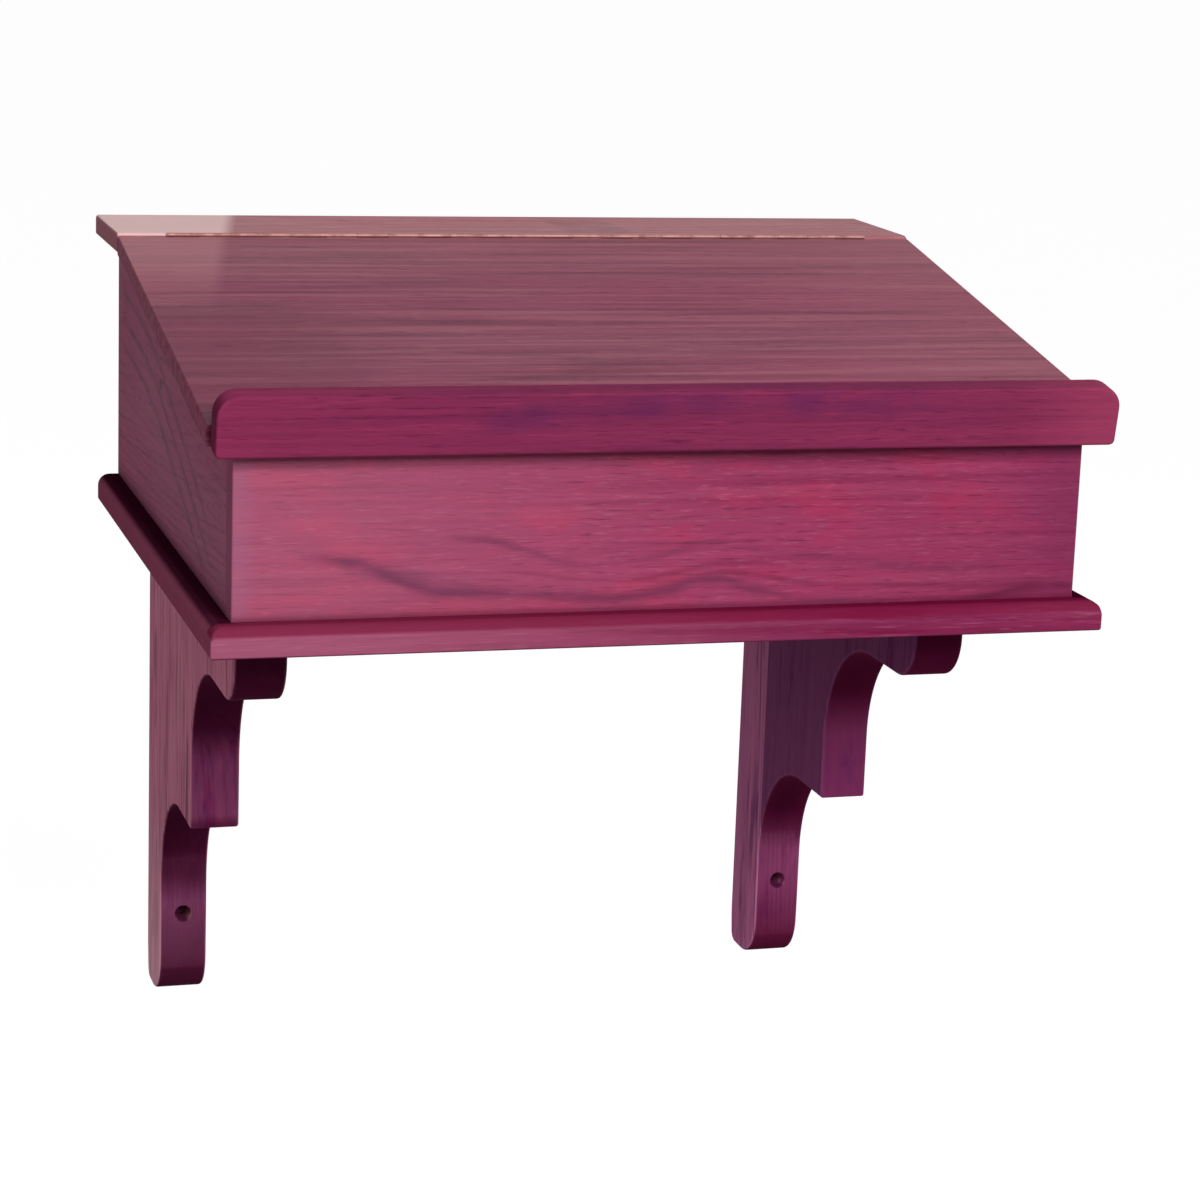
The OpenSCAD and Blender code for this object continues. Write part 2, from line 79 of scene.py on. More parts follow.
class NodePen:
    """Draws shader and geometry nodes with few words."""

    def __init__(self, tree: bpy.types.NodeTree) -> None:
        """Keeps the tree that it draws in."""
        self.tree = tree

    def fill(self, node: Node, inputs: dict[str | int, object]) -> Node:
        """Sets or links the inputs of a node.

        Args:
            node: The node.
            inputs: Values, or sockets to link, by input name or number.

        Returns:
            The same node.
        """
        for name, value in inputs.items():
            if isinstance(value, Socket):
                self.tree.links.new(value, node.inputs[name])
            else:
                node.inputs[name].default_value = value
        return node

    def add(self, kind: str, inputs: dict[str | int, object] | None = None, **settings: object) -> Node:
        """Adds one node.

        Args:
            kind: Blender's name of the node type.
            inputs: Values, or sockets to link, by input name or number.
            **settings: Properties of the node, set before its inputs.

        Returns:
            The new node.
        """
        node = self.tree.nodes.new(kind)
        for name, value in settings.items():
            setattr(node, name, value)
        return self.fill(node, inputs or {})

    def math(self, operation: str, *values: object) -> Socket:
        """Adds a Math node and returns its result."""
        return self.add("ShaderNodeMath", dict(enumerate(values)), operation=operation).outputs[0]

    def times(self, *values: object) -> Socket:
        """Multiplies values."""
        return reduce(partial(self.math, "MULTIPLY"), values)

    def plus(self, *values: object) -> Socket:
        """Adds values up."""
        return reduce(partial(self.math, "ADD"), values)

    def minus(self, first: object, second: object) -> Socket:
        """Takes the second value from the first."""
        return self.math("SUBTRACT", first, second)

    def most(self, *values: object) -> Socket:
        """The largest of values."""
        return reduce(partial(self.math, "MAXIMUM"), values)

    def size_of(self, value: object) -> Socket:
        """A value without its sign."""
        return self.math("ABSOLUTE", value)

    def bell(self, value: object, half: float) -> Socket:
        """1 where a value is 0, falling off over a half width."""
        return self.math("EXPONENT", self.times(value, value, -1 / half ** 2))

    def vector(self, x: object, y: object, z: object) -> Socket:
        """Joins three numbers into a vector."""
        return self.add("ShaderNodeCombineXYZ", {0: x, 1: y, 2: z}).outputs[0]

    def parts(self, vector: Socket) -> bpy.types.bpy_prop_collection:
        """Splits a vector into its three numbers."""
        return self.add("ShaderNodeSeparateXYZ", {0: vector}).outputs

    def length(self, x: object, y: object) -> Socket:
        """Length of a flat vector."""
        inputs = {0: self.vector(x, y, 0.0)}
        return self.add("ShaderNodeVectorMath", inputs, operation="LENGTH").outputs["Value"]

    def span(self, value: object, low: float, high: float, start: float = 0.0, end: float = 1.0,
             smooth: bool = True) -> Socket:
        """Maps a value from one span to another.

        Args:
            value: The number to map.
            low: Where the first span starts.
            high: Where the first span ends.
            start: Result at low.
            end: Result at high.
            smooth: Whether the result eases in and out.

        Returns:
            The mapped value, kept inside the second span.
        """
        inputs, kind = (value, low, high, start, end), "SMOOTHSTEP" if smooth else "LINEAR"
        made = self.add("ShaderNodeMapRange", dict(enumerate(inputs)), interpolation_type=kind)
        return made.outputs[0]

    def noise(self, place: object, detail: float = 2.0, roughness: float = 0.5,
              flat: bool = False) -> Socket:
        """Noise from 0 to 1 at a place that is scaled already.

        Args:
            place: Vector, or a single number where flat is true.
            detail: Octaves.
            roughness: Weight of the finer octaves.
            flat: Whether the noise runs along one number only.

        Returns:
            The noise value.
        """
        name, kind = ("W", "1D") if flat else ("Vector", "3D")
        inputs = {name: place, "Scale": 1.0, "Detail": detail, "Roughness": roughness}
        return self.add("ShaderNodeTexNoise", inputs, noise_dimensions=kind).outputs[0]

    def weave(self, scale: Place, detail: float = 2.0, roughness: float = 0.5) -> Socket:
        """Noise on Object coordinates, scaled by its own number along each axis.

        Args:
            scale: Scale along X, Y and Z, per metre.
            detail: Octaves.
            roughness: Weight of the finer octaves.

        Returns:
            The noise value.
        """
        place = self.add("ShaderNodeTexCoord").outputs["Object"]
        scaled = self.add("ShaderNodeMapping", {"Vector": place, "Scale": scale})
        return self.noise(scaled.outputs[0], detail, roughness)

    def blend(self, amount: object, first: object, second: object) -> Socket:
        """Mixes two colours."""
        inputs = {0: amount, 6: first, 7: second}
        return self.add("ShaderNodeMix", inputs, data_type="RGBA", clamp_factor=True).outputs[2]

    def bump(self, strength: float, distance: float, height: Socket) -> Socket:
        """Turns a height into a normal."""
        inputs = {"Strength": strength, "Distance": distance, "Height": height}
        return self.add("ShaderNodeBump", inputs).outputs[0]


def new_material(name: str) -> tuple[Material, Node]:
    """Makes an empty material.

    Args:
        name: Its name.

    Returns:
        The material and its Principled shader.
    """
    made = bpy.data.materials.new(name)
    made.use_nodes = True
    return made, made.node_tree.nodes["Principled BSDF"]


class BoardLie(Enum):
    """Axes of a board, in the order along the grain, across its face and through its thickness."""

    FLAT = (0, 1, 2)
    UPRIGHT = (0, 2, 1)
    SIDE = (1, 2, 0)
    POST = (2, 1, 0)


@dataclass(frozen=True)
class Knot:
    """A knot in a board's face, placed along and across the grain."""

    along: float
    across: float
    radius: float
    bulge: float = 1.6
    reach: float = 2.6
    squash: float = 0.6
    core: float = 0.45
    strength: float = 0.8


@dataclass(frozen=True)
class Vein:
    """A dark line of the figure: heights across the board, evenly spaced between two places along it."""

    start: float
    end: float
    heights: tuple[float, ...]
    half: float = 0.0022
    strength: float = 0.6
    colour: Colour | None = None


@dataclass(frozen=True)
class Fade:
    """A soft change of tone, full at the start and gone at the end, perhaps on one side only."""

    start: float
    end: float
    strength: float
    colour: Colour
    across: Point | None = None
    slant: float = 0.0


@dataclass(frozen=True)
class Sawn:
    """The sawn outline of a thick piece, blotched, with painted shade in its coves and at three heights:
    under the shelf, on the upper leg and towards the foot.
    """

    colour: Colour
    coves: Point
    leg: float
    worn: Colour = srgb(150, 50, 92)
    strength: float = 0.85
    blotch: Place = (70.0, 42.0, 30.0)
    top: Point = (-0.262, -0.232)
    leg_run: float = 0.035
    leg_shade: float = 0.8
    leg_end: Point = (-0.395, -0.385)
    foot: Point = (-0.480, -0.575)
    foot_shade: float = 0.9
    shade: float = 0.9


@dataclass(frozen=True)
class Stain:
    """Colours of one red stain on oak, from the palest streaks to the filled pores, whose colour also
    paints shade, and a pale tone for rays, wear and painted sheen.
    """

    pale: Colour
    deep: Colour
    dark: Colour
    pore: Colour
    worn: Colour


RED = Stain(srgb(159, 58, 98), srgb(136, 42, 80), srgb(92, 18, 52),
            srgb(68, 10, 36), srgb(198, 120, 144))
SCARLET = Stain(srgb(140, 46, 86), srgb(114, 32, 70), srgb(114, 6, 52),
                srgb(54, 2, 30), srgb(196, 120, 144))
CRIMSON = Stain(srgb(140, 46, 84), srgb(114, 38, 72), srgb(76, 18, 50),
                srgb(50, 6, 30), srgb(180, 70, 104))
MAUVE = Stain(srgb(148, 64, 94), srgb(124, 46, 76), srgb(84, 26, 50),
              srgb(66, 18, 40), srgb(206, 140, 144))
SALMON = Stain(srgb(180, 94, 106), srgb(160, 78, 90), srgb(104, 40, 58),
               srgb(84, 30, 46), srgb(255, 210, 208))
UMBER = Stain(srgb(152, 68, 102), srgb(126, 50, 82), srgb(88, 24, 54),
              srgb(64, 16, 38), srgb(176, 104, 128))
ROSE = Stain(srgb(220, 134, 162), srgb(188, 104, 132), srgb(84, 20, 60),
             srgb(68, 2, 36), srgb(236, 170, 186))
PLUM = Stain(srgb(242, 146, 198), srgb(212, 114, 168), srgb(100, 22, 94),
             srgb(90, 6, 46), srgb(226, 150, 176))


@dataclass(frozen=True)
class Oak:
    """Red-stained oak for one board: growth rings round a pith, open pores, uneven stain, satin finish.

    Places are in metres from the board's own origin, in the directions of its lie; strengths run from 0
    to 1.
    """

    name: str
    lie: BoardLie
    stain: Stain
    origin: Place
    tilt: float = 0.0
    pith_across: float = 0.0
    pith_deep: float = 0.050
    taper: float = 0.05
    ring: float = 0.0050
    sway: float = 0.020
    seed: float = 0.0
    ring_strength: float = 0.70
    ring_share: float = 0.5
    pore_strength: float = 0.40
    ray_strength: float = 0.22
    ray_long: float = 34.0
    end_strength: float = 0.55
    thread_strength: float = 0.25
    thread_size: Point = (3.0, 120.0)
    roughness: float = 0.58
    specular: float = 0.15
    wear: float = 0.12
    blush: Colour | None = None
    fades: tuple[Fade, ...] = ()
    fade_edges: bool = True
    veins: tuple[Vein, ...] = ()
    knot: Knot | None = None
    glue_line: float | None = None
    sawn: Sawn | None = None
    foot: Point | None = None

    def material(self) -> Material:
        """Builds the board's material.

        Returns:
            The material, which reads Object coordinates and the attribute "arris".
        """
        made, shader = new_material(self.name)
        OakPen(made.node_tree, self).draw(shader)
        return made


class OakPen(NodePen):
    """Draws the material of one board, layer upon layer, in the board's own directions.

    Each noise has its scale along the grain and across it, per metre, its octaves and its roughness; rays
    and threads leave out the scales that the board gives. Each tone maps a noise or a place to a strength.
    """

    STREAK, STREAK_TONE = (4.0, 150.0, 4.0, 0.65), (0.30, 0.70, 0.0, 0.5)
    BROAD, BROAD_TONE = (2.6, 9.0, 2.0, 0.5), (0.32, 0.68, 0.0, 0.5)
    BLUSH, BLUSH_TONE = (15.0, 40.0, 3.0, 0.55), (0.46, 0.66, 0.0, 0.5)
    PATCHES, PATCH_TONE = (7.0, 16.0, 1.0, 0.5), (0.34, 0.62, 0.25, 1.0)
    PORES, PORE_TONE, PORE_REST = (62.0, 1250.0, 1.0, 0.5), (0.56, 0.70), 0.30
    RAYS, RAY_TONE = (620.0, 2.0, 0.6), (0.54, 0.74)
    THREADS, PALE_THREADS, DARK_THREADS, PALE_SHARE = (3.0, 0.62), (0.36, 0.50), (0.50, 0.66), 0.25
    VEIN_WAVER, VEIN_SWING, VEIN_RANGE = (22.0, 160.0, 2.0, 0.5), 1.6, 0.2
    VEIN_PATCHES, VEIN_TONE = (26.0, 40.0, 2.0, 0.5), (0.36, 0.60, 0.45, 1.0)
    VEIN_START, VEIN_END = (0.0, 0.12), (0.86, 1.0, 1.0, 0.0)
    SWAY = (2.4, 5.0, 1.0, 0.5)
    WAVER, RING_WAVER = (14.0, 45.0, 1.0, 0.5), 0.0016
    RING_DARKENS, RING_FADES = (0.0, 0.12), (0.16, 0.70, 1.0, 0.0)
    RING_STEP, RING_SEED, RING_FLOOR = 0.61, 9.0, 0.06
    SHARE_NONE, SHARE_ALL, SHARE_EDGE = 0.70, 0.30, (0.10, 0.12)
    SEED_ALONG, SEED_DEEP = 3.1, 1.7
    END_GRAIN, WEAR_TONE = (0.45, 1.0), (0.35, 0.65, 0.3, 1.0)
    ROUGH_TONE, PORE_ROUGH, END_ROUGH = (0.3, 0.7, -0.04, 0.04), 0.15, 0.25
    RELIEF, RELIEF_STRENGTH, STREAK_HIGH, PORE_DEEP, LINE_DEEP = 0.0004, 0.25, 0.25, 0.7, 0.4
    EDGES_TOO, FACE_ONLY = (-0.7, -0.3), (0.3, 0.7)
    JOINT, STAVE_STRENGTH = 0.0006, 0.74
    JOINT_TONE, JOINT_FACE = (0.0004, 0.0011, 0.4, 0.0), (0.8, 0.95)
    OUTLINE_TONE = (0.30, 0.85, 1.0, 0.0)
    BLOTCH, BLOTCH_DARK, BLOTCH_WORN = (3.0, 0.6), (0.50, 0.70, 0.0, 0.5), (0.30, 0.48, 0.4, 0.0)
    WAX_FRONT, WAX_FRONT_FACE = (-0.002, 0.0), (0.12, 0.45, 0.0, 0.8)
    WAX_SIDE, WAX_SIDE_END = (-0.004, 0.0), (0.0115, 0.0155, 1.0, 0.0)
    WAX_SIDE_FRONT, WAX_SIDE_FACE = (-0.001, 0.005, 1.0, 0.0), (0.05, 0.5, 0.0, 0.95)

    def __init__(self, tree: bpy.types.NodeTree, oak: Oak) -> None:
        """Finds the board's directions and its faces.

        Args:
            tree: Tree of the material.
            oak: The board's finish.
        """
        super().__init__(tree)
        self.oak = oak
        self.colour: object = oak.stain.pale
        where = self.add("ShaderNodeTexCoord").outputs
        self.place, self.normal = self.parts(where["Object"]), self.parts(where["Normal"])
        tilt = -math.radians(oak.tilt)
        shift = -(Matrix.Rotation(tilt, 3, "X") @ Vector(oak.origin))
        own = self.parts(self.add("ShaderNodeMapping", {
            "Vector": where["Object"], "Location": shift, "Rotation": (tilt, 0.0, 0.0)}).outputs[0])
        self.along, self.across, self.deep = (own[i] for i in oak.lie.value)
        self.turned = self.normal[oak.lie.value[2]]

    def lay(self, amount: object, colour: object) -> None:
        """Lays a colour over what is there."""
        self.colour = self.blend(amount, self.colour, colour)

    def figure(self, along: float, across: float, detail: float, roughness: float) -> Socket:
        """Noise stretched along the grain, moved by the board's seed.

        Args:
            along: Scale along the grain.
            across: Scale across the face and through the board.
            detail: Octaves.
            roughness: Weight of the finer octaves.

        Returns:
            The noise value.
        """
        seed = self.oak.seed
        place = self.vector(self.math("MULTIPLY_ADD", self.along, along, seed * self.SEED_ALONG),
                            self.math("MULTIPLY_ADD", self.across, across, seed),
                            self.math("MULTIPLY_ADD", self.deep, across, seed * self.SEED_DEEP))
        return self.noise(place, detail, roughness)

    def draw(self, shader: Node) -> None:
        """Lays all layers over one another and feeds the shader.

        Args:
            shader: The material's Principled shader.
        """
        oak, stain = self.oak, self.oak.stain
        streak, broad = self.figure(*self.STREAK), self.figure(*self.BROAD)
        tone = self.plus(self.span(streak, *self.STREAK_TONE), self.span(broad, *self.BROAD_TONE))
        self.colour = self.blend(tone, stain.deep, stain.pale)
        if oak.blush is not None:
            self.lay(self.span(self.figure(*self.BLUSH), *self.BLUSH_TONE), oak.blush)
        rays = self.figure(oak.ray_long, *self.RAYS)
        self.lay(self.span(rays, *self.RAY_TONE, 0.0, oak.ray_strength), stain.worn)
        threads = self.figure(*oak.thread_size, *self.THREADS)
        pale = oak.thread_strength * self.PALE_SHARE
        self.lay(self.span(threads, *self.PALE_THREADS, pale, 0.0), stain.worn)
        patchy = self.span(self.figure(*self.PATCHES), *self.PATCH_TONE)
        dark = self.span(threads, *self.DARK_THREADS, 0.0, oak.thread_strength)
        self.lay(self.times(dark, patchy), stain.dark)
        early, power, knot = self.rings()
        line = self.times(early, power, patchy, oak.ring_strength)
        self.lay(line, stain.dark)
        pores = self.times(self.span(self.figure(*self.PORES), *self.PORE_TONE),
                           self.span(early, 0.0, 1.0, self.PORE_REST, 1.0))
        self.lay(self.times(pores, oak.pore_strength), stain.pore)
        if oak.fades:
            self.lay_fades()
        if oak.veins:
            self.lay_veins()
        if knot is not None:
            self.lay(knot, stain.pore)
        if oak.glue_line is not None:
            self.lay_stave(oak.glue_line)
        cut = self.span(self.size_of(self.normal[oak.lie.value[0]]), *self.END_GRAIN)
        self.lay(self.times(cut, oak.end_strength), stain.dark)
        if oak.sawn is not None:
            cut = self.most(cut, self.lay_outline(oak.sawn))
        # Painted shade on the upper face round the foot of the case.
        if oak.foot is not None:
            self.lay_wax(*oak.foot)
        # Paler rounded edges: partly wear of the finish, partly a painted highlight where the edges catch
        # light.
        arris = self.add("ShaderNodeAttribute", attribute_name="arris").outputs["Fac"]
        self.lay(self.times(arris, self.span(broad, *self.WEAR_TONE), oak.wear), stain.worn)
        rough = self.plus(self.times(pores, self.PORE_ROUGH), self.span(broad, *self.ROUGH_TONE))
        rough = self.math("MULTIPLY_ADD", cut, self.END_ROUGH, rough)
        sunk = self.plus(self.times(pores, self.PORE_DEEP), self.times(line, self.LINE_DEEP))
        height = self.minus(self.times(streak, self.STREAK_HIGH), sunk)
        self.fill(shader, {
            "Base Color": self.colour, "Roughness": self.plus(rough, oak.roughness),
            "Specular IOR Level": oak.specular,
            "Normal": self.bump(self.RELIEF_STRENGTH, self.RELIEF, height)})

    def rings(self) -> tuple[Socket, Socket, Socket | None]:
        """Draws growth rings round the pith, bent round the knot if the board has one.

        Returns:
            Mask of each ring's early wood, how strongly that ring shows, and mask of the knot.
        """
        oak, knot, spot = self.oak, self.oak.knot, None
        sway = self.figure(*self.SWAY)
        side = self.math("MULTIPLY_ADD", sway, oak.sway, self.across)
        side = self.minus(side, oak.pith_across + oak.sway / 2)
        rise = self.math("MULTIPLY_ADD", self.along, oak.taper, self.deep)
        rise = self.plus(self.math("MULTIPLY_ADD", sway, oak.sway, rise), oak.pith_deep)
        waver = self.figure(*self.WAVER)
        far = self.math("MULTIPLY_ADD", waver, self.RING_WAVER, self.length(side, rise))
        if knot is not None:
            gap = self.length(self.times(self.minus(self.along, knot.along), knot.squash),
                              self.minus(self.across, knot.across))
            bulge = self.bell(gap, knot.reach * knot.radius)
            far = self.math("MULTIPLY_ADD", bulge, knot.radius * knot.bulge, far)
            spot = self.span(gap, knot.radius * knot.core, knot.radius, knot.strength, 0.0)
        count = self.math("DIVIDE", far, oak.ring)
        part = self.math("FRACT", count)
        early = self.times(self.span(part, *self.RING_DARKENS), self.span(part, *self.RING_FADES))
        place = self.math("MULTIPLY_ADD", count, self.RING_STEP, oak.seed * self.RING_SEED)
        edge = self.SHARE_NONE - (self.SHARE_NONE - self.SHARE_ALL) * oak.ring_share
        power = self.span(self.noise(place, 1.0, flat=True), edge - self.SHARE_EDGE[0],
                          edge + self.SHARE_EDGE[1], self.RING_FLOOR, 1.0)
        return early, power, spot

    def lay_fades(self) -> None:
        """Lays soft changes of tone over the outer face: the upper, the front or the left one."""
        outer = 1.0 if self.oak.lie is BoardLie.FLAT else -1.0
        limits = self.EDGES_TOO if self.oak.fade_edges else self.FACE_ONLY
        facing = self.span(self.times(self.turned, outer), *limits)
        for fade in self.oak.fades:
            place = self.along
            if fade.slant:
                place = self.math("MULTIPLY_ADD", self.across, -fade.slant, place)
            amount = self.times(self.span(place, fade.start, fade.end, fade.strength, 0.0), facing)
            if fade.across is not None:
                amount = self.times(amount, self.span(self.across, *fade.across))
            self.lay(amount, fade.colour)

    def lay_veins(self) -> None:
        """Draws the board's own dark lines, each along a smooth curve with ends that fade."""
        waver = self.figure(*self.VEIN_WAVER)
        patchy = self.span(self.figure(*self.VEIN_PATCHES), *self.VEIN_TONE)
        for vein in self.oak.veins:
            share = self.span(self.along, vein.start, vein.end, smooth=False)
            bend = self.add("ShaderNodeFloatCurve", {"Value": share})
            points = bend.mapping.curves[0].points
            last = len(vein.heights) - 1
            for i, height in enumerate(vein.heights):
                at = i / last, 0.5 + height / self.VEIN_RANGE
                if i in (0, last):
                    points[0 if i == 0 else len(points) - 1].location = at
                else:
                    points.new(*at)
            bend.mapping.update()
            middle = self.plus(self.across, self.VEIN_RANGE / 2)
            off = self.math("MULTIPLY_ADD", bend.outputs[0], -self.VEIN_RANGE, middle)
            swing = vein.half * self.VEIN_SWING
            off = self.plus(off, self.math("MULTIPLY_ADD", waver, swing, -swing / 2))
            ends = self.times(self.span(share, *self.VEIN_START), self.span(share, *self.VEIN_END))
            amount = self.times(self.bell(off, vein.half), ends, patchy, vein.strength)
            self.lay(amount, vein.colour or self.oak.stain.dark)

    def lay_stave(self, glue_line: float) -> None:
        """Stains the stave in front of a glue line darker, with a thin pale joint on the flat faces.

        Args:
            glue_line: Where the joint lies across the face.
        """
        stave = self.span(self.across, glue_line - self.JOINT, glue_line + self.JOINT,
                          self.STAVE_STRENGTH, 0.0)
        self.lay(stave, self.oak.stain.dark)
        joint = self.span(self.size_of(self.minus(self.across, glue_line)), *self.JOINT_TONE)
        flat = self.span(self.size_of(self.turned), *self.JOINT_FACE)
        self.lay(self.times(joint, flat), self.oak.stain.worn)

    def lay_outline(self, sawn: Sawn) -> Socket:
        """Colours the sawn outline, which drinks more stain, and paints shade on it.

        Args:
            sawn: Finish of the outline.

        Returns:
            Mask of the outline.
        """
        stain = self.oak.stain
        mask = self.span(self.size_of(self.turned), *self.OUTLINE_TONE)
        blotch = self.weave(sawn.blotch, *self.BLOTCH)
        outline = self.blend(self.span(blotch, *self.BLOTCH_DARK), sawn.colour, stain.dark)
        outline = self.blend(self.span(blotch, *self.BLOTCH_WORN), outline, sawn.worn)
        self.lay(self.times(mask, sawn.strength), outline)
        # Painted shade: on the downward faces of the coves, under the shelf at the top, in a band on the
        # upper leg and towards the foot.
        height = self.place[2]
        leg = self.times(self.span(height, sawn.leg, sawn.leg + sawn.leg_run, 0.0, sawn.leg_shade),
                         self.span(height, *sawn.leg_end, 1.0, 0.0))
        shade = self.most(self.span(self.normal[2], *sawn.coves, 1.0, 0.0), self.span(height, *sawn.top),
                          self.span(height, *sawn.foot, 0.0, sawn.foot_shade), leg)
        self.lay(self.times(shade, mask, sawn.shade), stain.pore)
        return mask

    def lay_wax(self, half_width: float, depth: float) -> None:
        """Paints shade on the upper face round the foot of the case: a painted shadow in front of the apron
        and beside the side boards.

        Args:
            half_width: Half the width of the case.
            depth: Its depth from the wall.
        """
        upward = self.normal[2]
        out_x = self.minus(self.size_of(self.place[0]), half_width)
        out_y = self.minus(self.times(self.place[1], -1.0), depth)
        # Painted shadow on the strip in front of the apron.
        front = self.times(self.span(out_y, *self.WAX_FRONT), self.span(upward, *self.WAX_FRONT_FACE))
        self.lay(front, self.oak.stain.dark)
        # Painted shadow along the foot of the side boards.
        sides = self.times(self.span(out_x, *self.WAX_SIDE_END), self.span(out_x, *self.WAX_SIDE),
                           self.span(out_y, *self.WAX_SIDE_FRONT), self.span(upward, *self.WAX_SIDE_FACE))
        self.lay(sides, self.oak.stain.pore)


@dataclass(frozen=True)
class Beech:
    """Plain beech of the dowels, with short dark ray flecks."""

    name: str = "plain_beech"
    pale: Colour = srgb(214, 178, 132)
    deep: Colour = srgb(190, 148, 104)
    fleck: Colour = srgb(146, 98, 62)
    grain: Place = (60.0, 400.0, 400.0)
    flecks: Place = (900.0, 2200.0, 2200.0)
    grain_tone: Point = (0.3, 0.7)
    fleck_tone: Colour = (0.60, 0.72, 0.0, 0.6)
    roughness: Point = (0.55, 0.75)
    relief: Point = (0.2, 0.0002)

    def material(self) -> Material:
        """Builds the dowels' material.

        Returns:
            The material.
        """
        made, shader = new_material(self.name)
        pen = NodePen(made.node_tree)
        grain = pen.weave(self.grain)
        colour = pen.blend(pen.span(grain, *self.grain_tone), self.deep, self.pale)
        colour = pen.blend(pen.span(pen.weave(self.flecks), *self.fleck_tone), colour, self.fleck)
        pen.fill(shader, {"Base Color": colour, "Roughness": pen.span(grain, 0.0, 1.0, *self.roughness),
                          "Normal": pen.bump(*self.relief, grain)})
        return made


@dataclass(frozen=True)
class Metal:
    """A small metal part: brushed along one axis, dulled in patches."""

    name: str
    bright: Colour
    dull: Colour
    roughness: float
    brush: Place
    patches: Place = (90.0, 90.0, 90.0)
    octaves: Point = (3.0, 0.6)
    tarnish: Point = (0.42, 0.66)
    tarnish_rough: float = 0.14
    brush_rough: Colour = (0.2, 0.8, -0.06, 0.08)
    relief: Point = (0.15, 0.0001)

    def material(self) -> Material:
        """Builds the metal's material.

        Returns:
            The material.
        """
        made, shader = new_material(self.name)
        pen = NodePen(made.node_tree)
        strokes = pen.weave(self.brush)
        tarnish = pen.span(pen.weave(self.patches, *self.octaves), *self.tarnish)
        rough = pen.plus(pen.span(strokes, *self.brush_rough), pen.times(tarnish, self.tarnish_rough),
                         self.roughness)
        pen.fill(shader, {"Metallic": 1.0, "Base Color": pen.blend(tarnish, self.bright, self.dull),
                          "Roughness": rough, "Normal": pen.bump(*self.relief, strokes)})
        return made


def linked(name: str, data: bpy.types.ID) -> Thing:
    """Makes an object at the origin and links it to the scene.

    Args:
        name: Its name.
        data: Its mesh, lamp or camera.

    Returns:
        The object.
    """
    made = bpy.data.objects.new(name, data)
    bpy.context.scene.collection.objects.link(made)
    return made


def arc_points(centre: Point, radius: float, start: float, end: float, steps: int) -> list[Point]:
    """Points of an arc, both ends included.

    Args:
        centre: Centre of the arc.
        radius: Its radius.
        start: First angle in degrees.
        end: Last angle in degrees.
        steps: Chords in the arc.

    Returns:
        The points in order.
    """
    turns = [math.radians(start + (end - start) * i / steps) for i in range(steps + 1)]
    return [(centre[0] + radius * math.cos(t), centre[1] + radius * math.sin(t)) for t in turns]


